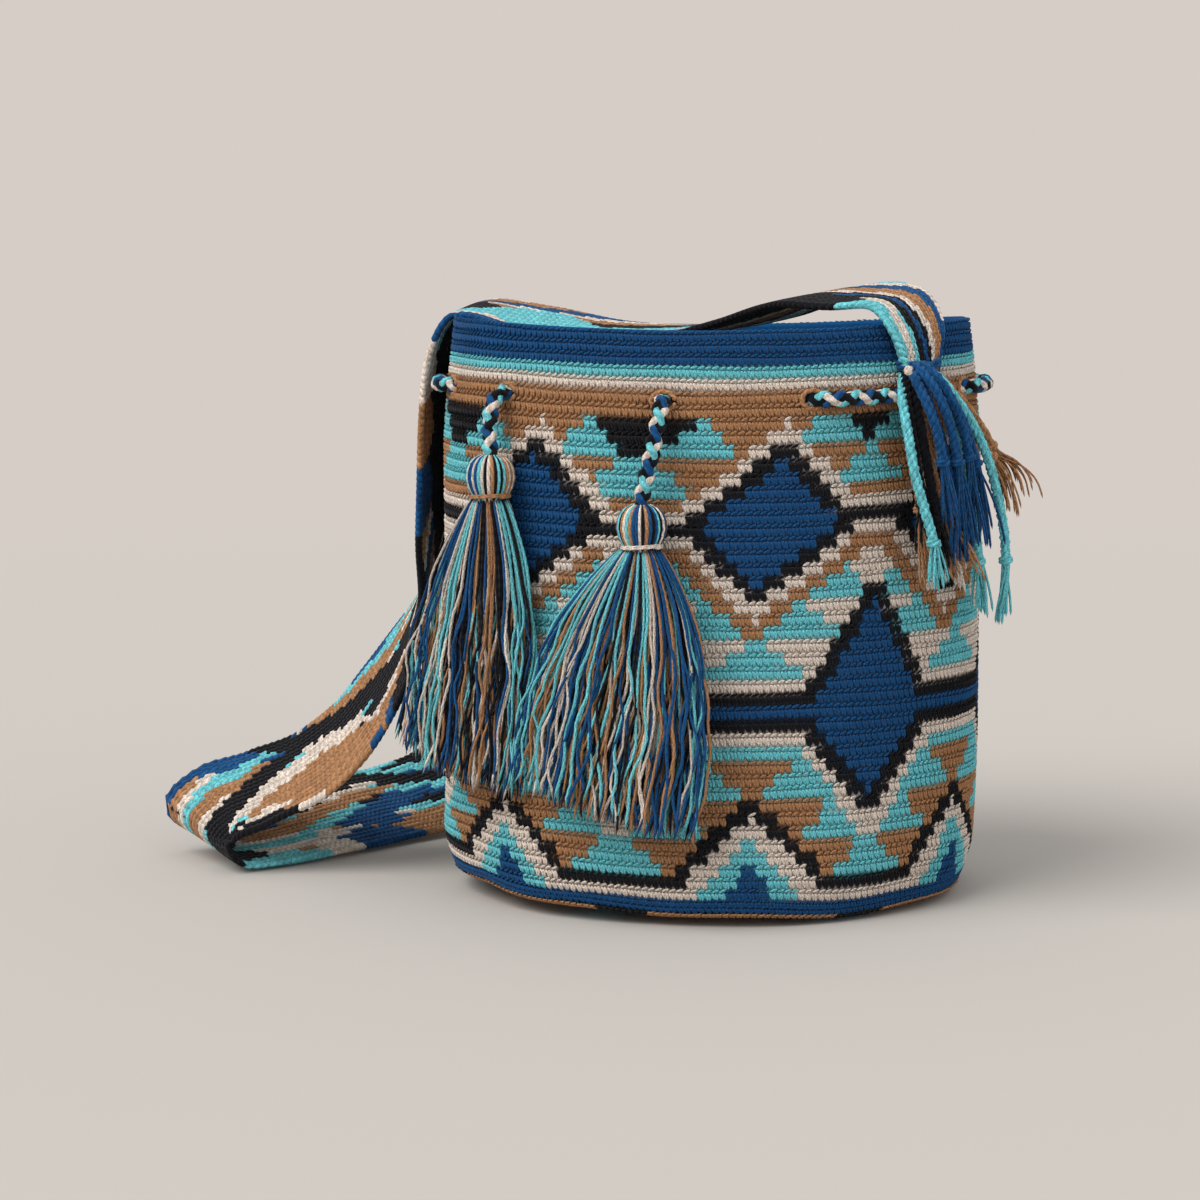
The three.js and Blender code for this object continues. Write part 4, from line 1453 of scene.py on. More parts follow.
@dataclass
class Drawstring:
    """The braided cord that runs in and out of the eyelets, with a tassel on each end."""

    form: BagForm
    shelf: YarnShelf
    diameter: float = 7.0 * MM
    eyelet_height: float = 241 * MM
    outside: float = 6.2 * MM
    inside: float = -6.2 * MM
    crossing: float = 22 * MM
    eyelets: tuple[float, ...] = (-48, -10, 21, 48, 68, 98, 130, 162, 194, 226, 258, 286)
    core_radius: float = 2.5 * MM

    def wall(self, degrees: float, distance: float) -> np.ndarray:
        """A point beside the wall at the eyelets' height."""
        return self.form.at(math.radians(degrees), self.eyelet_height, distance)

    def turn_for(self, length: float, degrees: float) -> float:
        """How many degrees a length along the wall is."""
        angle = math.radians(degrees)
        speed = math.hypot(self.form.width / 2 * math.cos(angle), self.form.depth / 2 * math.sin(angle))
        return math.degrees(length / speed)

    def hanging_end(self, degrees: float, tassel: TasselForm) -> list[np.ndarray]:
        """The stretch from inside an eyelet down into a tassel's head.

        Args:
            degrees: where its eyelet is.
            tassel: what hangs on it.

        Returns:
            The points, from the eyelet down.
        """
        top = tassel.top(self.form)
        outward = self.form.outward(np.array(math.radians(degrees)))
        out = self.wall(degrees, self.outside + 1 * MM)
        bend = out + np.array([0, 0, -5 * MM]) + outward * 3.4 * MM
        low = (bend + top) / 2 + outward * 1 * MM
        return [
            self.wall(degrees, self.inside + 2.5 * MM),
            self.wall(degrees, 0.0),
            self.wall(degrees, 3.6 * MM),
            out + np.array([0, 0, -1.2 * MM]),
            bend,
            low,
            top + np.array([0, 0, 2 * MM]),
            top + np.array([0, 0, -11.5 * MM]),
            tassel.neck(self.form) + np.array([0, 0, -12 * MM]),
        ]

    def route(self) -> np.ndarray:
        """The points that the cord follows, from the right tassel round to the left one.

        Returns:
            The points.
        """
        points = self.hanging_end(self.eyelets[1], RIGHT_TASSEL)[::-1]
        holes = self.eyelets[2:]
        points.append(self.wall(self.eyelets[1] + 5, self.inside))
        points.append(self.wall((self.eyelets[1] + holes[0]) / 2, self.inside))
        middle = (self.outside + self.inside) / 2
        reach = (self.outside - self.inside) / 2
        for i, degrees in enumerate(holes):
            outgoing = i % 2 == 0
            for share in (-0.5, -0.25, 0.0, 0.25, 0.5):
                rise = math.sin(share * math.pi) * (1 if outgoing else -1)
                turn = self.turn_for(share * self.crossing, degrees)
                points.append(self.wall(degrees + turn, middle + rise * reach))
            after = holes[i + 1] if i + 1 < len(holes) else self.eyelets[0] + 360
            points.append(self.wall((degrees + after) / 2, self.outside if outgoing else self.inside))
        points.append(self.wall(self.eyelets[0] - 5, self.inside))
        points.extend(self.hanging_end(self.eyelets[0], LEFT_TASSEL))
        return np.array(points)

    def braid(self, path: np.ndarray) -> bpy.types.Object:
        """Lays four strands over and under each other round the core.

        Args:
            path: the cord's middle.

        Returns:
            The braid's piece.
        """
        length = path_length(path)
        line = resample(path, int(length / (1.5 * MM)))
        _, first, second = carried_frames(line)
        phase = np.linspace(0.0, length, len(line)) / (15 * MM) * 2 * np.pi
        ways = [(1, [Yarn.CREAM, Yarn.BLACK]), (-1, [Yarn.BLUE, Yarn.TURQUOISE])]
        buffer = MeshBuffer()
        yarns = list(Yarn)
        for way, strands in ways:
            for k, yarn in enumerate(strands):
                turn = way * phase + np.pi * k
                radius = 1.7 * MM + way * 0.5 * MM * np.cos(2 * phase)
                offset = first * np.cos(turn)[:, None] + second * np.sin(turn)[:, None]
                strand = line + offset * radius[:, None]
                buffer.add_tube(strand, 1.85 * MM, 7, 0.5, yarns.index(yarn))
        made = buffer.to_object("drawstring_braid", [self.shelf.of(yarn) for yarn in yarns])
        return made

    def build(self, pieces: list[bpy.types.Object]) -> bpy.types.Object:
        """Args:
            pieces: what hangs on the cord; not used.

        Returns:
            The cord's core.
        """
        route = self.route()
        path = catmull(route, 6)
        core = MeshBuffer()
        # The core is black yarn: painted shade where it shows between the braided strands.
        core.add_tube(path, self.core_radius, 8, 0.2)
        cord = core.to_object("drawstring_core", [self.shelf.of(Yarn.BLACK)])
        braid = self.braid(path)
        for piece in (cord, braid):
            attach(piece, BODY)
            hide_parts("drawstring")
        return cord


@dataclass
class StrapRoute:
    """The strap's course from the right end over the mouth, down to the floor and back to the left end."""

    form: BagForm
    samples_per_span: int = 12
    right_angle: float = 46.5
    left_angle: float = 226.5
    place: np.ndarray = field(init=False)
    across: np.ndarray = field(init=False)
    face: np.ndarray = field(init=False)
    width: np.ndarray = field(init=False)
    thickness: np.ndarray = field(init=False)
    run: np.ndarray = field(init=False)

    def stations(self) -> np.ndarray:
        """The stations in millimetres: place, across direction, width and thickness.

        Returns:
            One row a station.
        """
        def by_wall(degrees: float, z: float, distance: float) -> list[float]:
            """A place by the wall, in millimetres."""
            return list(self.form.at(math.radians(degrees), z * MM, distance * MM) / MM)

        right = list(self.form.along(np.array(math.radians(self.right_angle))))
        left = list(self.form.along(np.array(math.radians(self.left_angle))))
        near = [
            (by_wall(self.right_angle, 247, 7.6), right, 17, 8),
            (by_wall(self.right_angle, 259, 8.1), right, 24, 6.6),
            (by_wall(self.right_angle, 269, 7.6), right, 33, 5),
            ([85, -65.9, 278.1], [0.6, 0.78, 0.1], 45, 4.6),
            ([70, -51.5, 281.6], [0.55, 0.8, 0.16], 60.2, 4.6),
        ]
        free = [
            ([50, -30.9, 281.6], [0.6, 0.8, 0.1]),
            ([22.5, -8.2, 271.6], [0.6, 0.8, 0.06]),
            ([-10, 12.4, 264.5], [0.45, 0.9, 0.06]),
            ([-50, 27.8, 264.0], [0.3, 0.95, 0.1]),
            ([-85, 36, 269.5], [0.15, 0.98, 0.16]),
            ([-112.5, 39.1, 275.2], [0.08, 1, 0.1]),
            ([-121, 40.2, 273.5], [0.05, 1, 0.04]),
            ([-126.6, 40.2, 267.6], [0.05, 1, 0]),
            ([-131.5, 40.2, 252], [0.1, 1, 0]),
            ([-133.5, 40, 225], [0.14, 0.99, 0]),
            ([-135, 41, 190], [0.14, 0.99, 0]),
            ([-137.5, 42, 160], [0.1, 0.99, 0.04]),
            ([-143, 41, 132], [-0.06, 0.98, 0.12]),
            ([-153, 41, 107], [-0.22, 0.95, 0.18]),
            ([-166, 42, 85], [-0.3, 0.92, 0.2]),
            ([-181, 44, 65], [-0.34, 0.9, 0.2]),
            ([-201, 48, 49], [-0.42, 0.88, 0.2]),
            ([-226, 49, 37.5], [-0.5, 0.82, 0.24]),
            ([-246, 48, 29.5], [-0.56, 0.78, 0.26]),
            ([-255, 46, 20.5], [-0.58, 0.76, 0.24]),
            ([-251, 49, 11.8], [-0.62, 0.74, 0.2]),
            ([-237, 59, 9.8], [-0.68, 0.7, 0.2]),
            ([-211, 84, 12.3], [-0.71, 0.65, 0.26]),
            ([-181, 120, 15], [-0.73, 0.6, 0.33]),
            ([-155, 147, 17], [-0.78, 0.55, 0.3]),
            ([-132, 164, 27], [-0.8, 0.55, 0.2]),
            ([-113, 164, 56], [-0.86, 0.48, 0.08]),
            ([-101, 148, 98], [-0.96, 0.25, 0]),
            ([-97, 128, 145], [-1, -0.1, 0]),
            ([-97, 109, 190], [-0.92, -0.4, 0]),
        ]
        far = [
            (by_wall(self.left_angle, 228, 24.9), left, 60.2, 4.6),
            (by_wall(self.left_angle, 252, 23.4), left, 51.8, 4.6),
            (by_wall(self.left_angle, 268, 20.4), left, 43.4, 4.6),
            (by_wall(self.left_angle, 276, 13.9), left, 39.2, 4.6),
            (by_wall(self.left_angle, 269, 7.6), left, 38, 4.6),
            (by_wall(self.left_angle, 259, 8.1), left, 31, 6.1),
            (by_wall(self.left_angle, 247, 7.6), left, 24, 8),
        ]
        rows = near + [(at, across, 70, 4.6) for at, across in free] + far
        return np.array([[*at, *across, width, thick] for at, across, width, thick in rows])

    def __post_init__(self) -> None:
        """Runs the smooth course through the stations."""
        line = catmull(self.stations(), self.samples_per_span)
        self.place = line[:, :3] * MM
        tangents = unit(np.gradient(self.place, axis=0))
        across = unit(line[:, 3:6])
        across = unit(across - tangents * (across * tangents).sum(axis=1)[:, None])
        self.across = across
        self.face = np.cross(tangents, across)
        self.width = line[:, 6] * MM
        self.thickness = line[:, 7] * MM
        steps = np.linalg.norm(np.diff(self.place, axis=0), axis=1)
        self.run = np.concatenate([[0.0], np.cumsum(steps)])

    @property
    def length(self) -> float:
        """The strap's length between its gathered ends."""
        return float(self.run[-1])

    def look_up(self, run: np.ndarray, values: np.ndarray) -> np.ndarray:
        """Interpolates values of the course at distances along it."""
        if values.ndim == 1:
            return np.interp(run, self.run, values)
        return np.stack([np.interp(run, self.run, values[:, k]) for k in range(values.shape[1])], axis=-1)

    def at(self, run: np.ndarray, side: np.ndarray, rise: np.ndarray) -> np.ndarray:
        """A point of the strap.

        Args:
            run: distance along it.
            side: place across it, from -1 to 1.
            rise: place through it, from -1 on its back to 1 on its face.

        Returns:
            The points.
        """
        inside = np.clip(run, 0.0, self.length)
        place = self.look_up(inside, self.place)
        across = self.look_up(inside, self.across)
        face = self.look_up(inside, self.face)
        width = self.look_up(inside, self.width)
        thickness = self.look_up(inside, self.thickness)
        beyond = (run - inside)[..., None] * np.cross(across, face)
        crown = 1.0 - 0.25 * np.abs(side) ** 4
        return (
            place
            + across * (side * width / 2)[..., None]
            + face * (rise * thickness / 2 * crown)[..., None]
            + beyond
        )


@dataclass(frozen=True)
class Leaf:
    """A long island of one yarn in the strap's weave, pointed at both ends.

    Its line gives places as millimetres along the strap and shares of its half width.
    """

    yarn: Yarn
    line: tuple[tuple[float, float], ...]
    half: float

    def covers(self, run: float, side: float) -> bool:
        """Whether a place of the strap lies in it."""
        runs, sides = zip(*self.line)
        if not runs[0] <= run / MM <= runs[-1]:
            return False
        share = (run / MM - runs[0]) / (runs[-1] - runs[0])
        return abs(side - float(np.interp(run / MM, runs, sides))) <= self.half * math.sin(math.pi * share) ** 0.6


LEAVES = (
    Leaf(Yarn.BLACK, ((45, -0.7), (80, -0.8), (128, -1.1)), 0.55),
    Leaf(Yarn.CREAM, ((-25, -1.1), (8, -0.74), (34, -0.6), (80, -0.5)), 0.14),
    Leaf(Yarn.TURQUOISE, ((-20, -0.5), (22, -0.9), (64, -0.9)), 0.22),
    Leaf(Yarn.TURQUOISE, ((200, -0.6), (235, -0.2), (268, -0.2)), 0.75),
    Leaf(Yarn.CREAM, ((178, -0.9), (196, -0.7), (214, -0.5)), 0.5),
    Leaf(Yarn.CREAM, ((298, -1.0), (312, -0.9), (328, -1.0)), 0.4),
    Leaf(Yarn.TAN, ((318, -1.0), (336, -0.9), (358, -1.0)), 0.45),
    Leaf(Yarn.BLUE, ((348, -1.0), (366, -0.9), (388, -1.0)), 0.5),
    Leaf(Yarn.BLACK, ((262, 0.0), (300, 0.1), (352, 0.3), (420, 0.6)), 0.95),
    Leaf(Yarn.TURQUOISE, ((606, -1.0), (630, -0.95), (652, -1.0)), 0.22),
    Leaf(Yarn.CREAM, ((640, -1.0), (656, -0.92), (670, -0.98)), 0.3),
    Leaf(Yarn.CREAM, ((478, -0.75), (490, -0.15), (520, 0.22), (550, -0.15), (578, -0.8)), 0.2),
    Leaf(Yarn.BLACK, ((526, 0.55), (540, 0.42), (555, 0.08), (575, -0.42), (605, -0.74), (640, -1.0)), 0.34),
    Leaf(Yarn.BLACK, ((400, -1.0), (432, -0.86), (460, -0.9), (474, -1.0)), 0.4),
    Leaf(Yarn.BLACK, ((532, -1.05), (550, -0.98), (576, -1.0)), 0.18),
    Leaf(Yarn.CREAM, ((538, -0.76), (553, -0.74), (570, -0.9)), 0.1),
    Leaf(Yarn.TAN, ((476, -0.9), (492, -0.58), (515, -0.46), (545, -0.56), (566, -0.8)), 0.44),
    Leaf(Yarn.BLACK, ((425, -0.5), (463, -0.02), (497, 0.36), (535, 0.72), (566, 1.05)), 0.28),
    Leaf(Yarn.TAN, ((436, 0.2), (472, 0.5), (500, 0.72), (530, 0.98)), 0.2),
    Leaf(Yarn.TURQUOISE, ((440, 0.55), (480, 0.8), (520, 1.0)), 0.12),
    Leaf(Yarn.BLUE, ((436, 1.0), (470, 1.0), (505, 1.0), (538, 1.05)), 0.2),
    Leaf(Yarn.TAN, ((530, 0.62), (562, 0.24), (590, 0.08), (612, 0.1)), 0.16),
    Leaf(Yarn.TURQUOISE, ((540, 0.85), (565, 0.52), (590, 0.3), (606, 0.36)), 0.15),
    Leaf(Yarn.CREAM, ((572, 0.62), (592, 0.52), (618, 0.42)), 0.12),
    Leaf(Yarn.BLUE, ((534, 1.0), (560, 0.86), (584, 0.94), (600, 1.0)), 0.2),
    Leaf(Yarn.TAN, ((572, 0.84), (590, 0.74), (622, 0.6)), 0.17),
    Leaf(Yarn.CREAM, ((562, -0.04), (590, -0.12), (616, -0.16)), 0.1),
    Leaf(Yarn.TURQUOISE, ((556, -0.2), (590, -0.3), (622, -0.4)), 0.12),
    Leaf(Yarn.BLUE, ((650, -0.9), (682, -0.82), (716, -0.98)), 0.3),
    Leaf(Yarn.TAN, ((690, -1.0), (728, -0.74), (770, -0.7)), 0.32),
    Leaf(Yarn.CREAM, ((606, -0.6), (640, -0.62), (690, -0.5)), 0.1),
    Leaf(Yarn.TURQUOISE, ((640, -0.42), (668, -0.2), (702, 0.1)), 0.12),
    Leaf(Yarn.TAN, ((604, -0.1), (640, -0.1), (690, 0.2), (732, 0.4)), 0.18),
    Leaf(Yarn.CREAM, ((660, 0.12), (690, 0.36), (730, 0.62)), 0.1),
    Leaf(Yarn.BLACK, ((606, 0.3), (645, 0.42), (690, 0.68), (715, 0.8), (745, 0.45), (775, 0.0)), 0.24),
    Leaf(Yarn.TURQUOISE, ((640, 0.62), (680, 0.9), (720, 1.0), (750, 0.95)), 0.14),
    Leaf(Yarn.BLUE, ((672, -0.38), (712, -0.12), (752, 0.1)), 0.2),
)


@dataclass
class Strap:
    """The twined strap: a thin band inside, and the short slanting strokes of its weave all over it."""

    route: StrapRoute
    shelf: YarnShelf
    columns: int = 21
    row_pitch: float = 3.3 * MM
    slant: float = 0.9
    drift: float = 0.25
    band_steps: int = 420
    band_sides: int = 9
    band_half: float = 0.94
    band_rise: float = 0.62
    fold_station: int = 24
    fold_lane: float = 150.0 * MM
    lanes: tuple[tuple[float, Yarn], ...] = (
        (12 * MM, Yarn.TURQUOISE),
        (6 * MM, Yarn.CREAM),
        (3 * MM, Yarn.BLUE),
        (8 * MM, Yarn.TURQUOISE),
        (12 * MM, Yarn.BLACK),
        (6 * MM, Yarn.BLUE),
        (5 * MM, Yarn.BLACK),
        (7 * MM, Yarn.CREAM),
        (11 * MM, Yarn.TAN),
        (8 * MM, Yarn.BLUE),
        (5 * MM, Yarn.CREAM),
        (9 * MM, Yarn.TURQUOISE),
        (10 * MM, Yarn.BLACK),
        (8 * MM, Yarn.TAN),
        (5 * MM, Yarn.CREAM),
        (10 * MM, Yarn.BLUE),
        (11 * MM, Yarn.TAN),
        (7 * MM, Yarn.CREAM),
        (14 * MM, Yarn.BLACK),
        (4 * MM, Yarn.TURQUOISE),
        (4 * MM, Yarn.CREAM),
        (8 * MM, Yarn.TAN),
        (8 * MM, Yarn.TURQUOISE),
        (5 * MM, Yarn.CREAM),
        (4 * MM, Yarn.TAN),
        (10 * MM, Yarn.BLUE),
        (4 * MM, Yarn.CREAM),
        (7 * MM, Yarn.TURQUOISE),
        (9 * MM, Yarn.BLACK),
        (5 * MM, Yarn.BLUE),
    )

    def band(self) -> bpy.types.Object:
        """The closed band that the strokes lie on, in black yarn: painted shade where it shows between the strokes.

        Returns:
            The band's piece.
        """
        runs = np.linspace(-1 * MM, self.route.length + 1 * MM, self.band_steps)
        sides = np.linspace(-self.band_half, self.band_half, self.band_sides)
        rise = np.full_like(runs, self.band_rise)
        upper = [self.route.at(runs, np.full_like(runs, side), rise) for side in sides]
        lower = [self.route.at(runs, np.full_like(runs, side), -rise) for side in sides[::-1]]
        ring = np.stack(upper + lower, axis=1)
        count = ring.shape[1]
        faces = []
        for r in range(len(runs) - 1):
            for k in range(count):
                a, b = r * count + k, r * count + (k + 1) % count
                faces.append((a, a + count, b + count, b))
        faces.append(tuple(range(count)))
        last = (len(runs) - 1) * count
        faces.append(tuple(last + k for k in reversed(range(count))))
        mesh = bpy.data.meshes.new("strap_band")
        mesh.from_pydata(ring.reshape(-1, 3).tolist(), [], faces)
        # The band is black: painted shade in the gaps between the strokes.
        mesh.materials.append(self.shelf.of(Yarn.BLACK))
        mesh.update()
        return add_object("strap_band", mesh)

    def lane(self, run: float, side: float) -> Yarn:
        """The yarn at a place: the warps wander from one edge to the other as they cross.

        Args:
            run: how far along the strap.
            side: how far across, from -1 to 1.

        Returns:
            The yarn there.
        """
        for leaf in LEAVES:
            if leaf.covers(run, side):
                return leaf.yarn
        total = sum(width for width, _ in self.lanes)
        wander = 3.4 * MM * math.sin(run / (61 * MM) + 2.2 * side) + 2.2 * MM * math.sin(run / (23 * MM) - 4.0 * side)
        fold = float(self.route.run[self.fold_station * self.route.samples_per_span])
        at = ((side + 1) * 35 * MM + (run - fold) * self.drift + wander + self.fold_lane) % total
        for width, yarn in self.lanes:
            if at < width:
                return yarn
            at -= width
        return self.lanes[-1][1]

    def strokes(self) -> bpy.types.Object:
        """Every stroke of the weave, through the strap's full thickness.

        Returns:
            The weave's piece.
        """
        route = self.route
        rows = int(route.length / self.row_pitch)
        corners = 6
        turn = np.arange(corners) / corners * 2 * np.pi
        cell = 2.0 / self.columns
        verts, faces, run_values, ply, shade, slots = [], [], [], [], [], []
        chance = np.random.default_rng(8)
        yarns = list(Yarn)
        wound = np.column_stack([np.cos(2 * turn), np.sin(2 * turn), np.zeros(corners)])
        ply_rows = np.vstack([np.zeros((1, 3)), wound, wound, np.zeros((1, 3))])
        run_rows = np.concatenate([[0.0], np.full(corners, 1.4), np.full(corners, 3.4), [5.0]]) * MM
        count = 0
        for row in range(rows):
            for column in range(self.columns):
                way = 1 if column % 2 else -1
                side = -1 + (column + 0.5) * cell
                stagger = 0.5 * (column % 2)
                run = (row + 0.5 + stagger) * self.row_pitch
                length = self.row_pitch * 1.25
                local_run, local_side, local_rise = [], [], []
                for t, size in ((-0.82, 0), (-0.36, 1), (0.36, 1), (0.82, 0)):
                    ring = [0.0] if size == 0 else turn
                    for angle in ring:
                        wide = math.cos(angle) * size * 0.60 if size else 0.0
                        local_run.append(run + t * length - way * wide * 0.35 * self.row_pitch)
                        local_side.append(side + way * t * self.slant * cell * 0.62 + wide * cell)
                        local_rise.append(math.sin(angle) * size if size else 0.0)
                verts.append((local_run, local_side, local_rise))
                yarn = self.lane(run, side)
                base = count
                for k in range(corners):
                    n = (k + 1) % corners
                    faces.append((base, base + 1 + n, base + 1 + k))
                    faces.append((base + 1 + k, base + 1 + n, base + 7 + n, base + 7 + k))
                    faces.append((base + 13, base + 7 + k, base + 7 + n))
                slots.extend([yarns.index(yarn)] * (3 * corners))
                ply.append(ply_rows)
                run_values.append(run_rows + run)
                shade.append(np.full(14, chance.random()))
                count += 14
        params = np.array(verts).transpose(0, 2, 1).reshape(-1, 3)
        width = route.look_up(np.clip(params[:, 0], 0, route.length), route.width)
        scale = np.clip((70 * MM / width) ** 0.5, 1.0, 1.6)
        points = route.at(params[:, 0], params[:, 1], params[:, 2] * scale**0.4)
        log.info("strap: %.3f m long, %d strokes", route.length, len(verts))
        weave = MeshBuffer([points], faces, run_values, ply, shade, slots)
        return weave.to_object("strap_weave", [self.shelf.of(yarn) for yarn in yarns])

    def build(self, pieces: list[bpy.types.Object]) -> None:
        """Args:
            pieces: what is sewn on to the strap or hangs from it; not used.
        """
        band = self.band()
        weave = self.strokes()
        for piece in (band, weave):
            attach(piece, BODY)
            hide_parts("shoulder_strap")


@dataclass(frozen=True)
class FringeCord:
    """A twisted cord of the right end, by its places in the picture and how far off it hangs.

    Each point is x and y in the photograph's frame, and the depth in millimetres.
    """

    yarn: Yarn
    frayed: float
    spread: float
    points: tuple[tuple[float, float, float], ...]


RIGHT_CORDS = (
    FringeCord(Yarn.BLUE, 0.38, 3 * MM, (
        (908, 366, -86), (918, 386, -94), (930, 412, -98), (939, 440, -96),
        (943, 463, -93), (946, 500, -90), (949, 530, -89),
    )),
    FringeCord(Yarn.BLUE, 0.46, 4 * MM, (
        (912, 364, -85), (928, 380, -93), (942, 404, -95), (952, 434, -91),
        (958, 462, -87), (962, 510, -84), (964, 562, -82),
    )),
    FringeCord(Yarn.BLUE, 0.46, 4 * MM, (
        (915, 363, -83), (935, 376, -89), (950, 398, -89), (962, 426, -84),
        (969, 458, -79), (975, 508, -74), (979, 556, -71),
    )),
    FringeCord(Yarn.BLUE, 0.40, 4 * MM, (
        (910, 366, -80), (924, 392, -86), (936, 424, -88), (946, 456, -86),
        (952, 490, -83), (955, 530, -81), (957, 566, -79),
    )),
    FringeCord(Yarn.BLUE, 0.42, 4 * MM, (
        (916, 364, -78), (940, 386, -80), (958, 412, -77), (970, 442, -72),
        (979, 476, -67), (985, 516, -63), (989, 550, -61),
    )),
    FringeCord(Yarn.TURQUOISE, 0.22, 2 * MM, (
        (918, 365, -77), (938, 378, -77), (962, 408, -73), (983, 446, -65),
        (999, 500, -57), (1007, 556, -52), (1002, 626, -50),
    )),
    FringeCord(Yarn.TURQUOISE, 0.22, 3 * MM, (
        (903, 372, -76), (902, 398, -88), (908, 434, -96), (915, 474, -98),
        (925, 510, -97), (935, 546, -95), (940, 592, -93),
    )),
    FringeCord(Yarn.TURQUOISE, 0.22, 3 * MM, (
        (917, 366, -74), (944, 398, -72), (961, 440, -70), (971, 492, -67),
        (978, 542, -65), (981, 578, -64), (983, 620, -64),
    )),
    FringeCord(Yarn.TAN, 0.34, 3 * MM, (
        (922, 366, -72), (946, 386, -68), (968, 410, -58), (984, 433, -48),
        (996, 454, -42), (1009, 463, -40), (1018, 476, -38), (1023, 498, -38),
    )),
    FringeCord(Yarn.TAN, 0.34, 3 * MM, (
        (921, 368, -72), (944, 394, -70), (966, 424, -62), (980, 442, -54),
        (992, 458, -48), (1001, 474, -46), (1007, 498, -44), (1009, 518, -44),
    )),
    FringeCord(Yarn.TAN, 0.36, 4 * MM, (
        (905, 370, -73), (908, 402, -80), (913, 440, -85), (918, 480, -87),
        (922, 520, -88), (926, 552, -88), (929, 588, -87),
    )),
    FringeCord(Yarn.TAN, 0.36, 4 * MM, (
        (908, 370, -74), (914, 402, -80), (924, 440, -84), (936, 484, -84),
        (948, 524, -82), (958, 556, -79), (966, 584, -77),
    )),
    FringeCord(Yarn.BLACK, 0.26, 3 * MM, (
        (905, 368, -77), (906, 396, -87), (912, 434, -91), (918, 472, -92),
        (923, 504, -91), (927, 528, -90), (931, 552, -89),
    )),
    FringeCord(Yarn.BLACK, 0.26, 3 * MM, (
        (909, 367, -76), (914, 396, -85), (922, 434, -89), (929, 474, -90),
        (936, 510, -88), (944, 542, -86), (950, 570, -84),
    )),
    FringeCord(Yarn.CREAM, 0.36, 4 * MM, (
        (910, 370, -73), (911, 400, -78), (918, 440, -81), (930, 480, -81),
        (944, 524, -78), (956, 560, -75), (962, 590, -73),
    )),
)


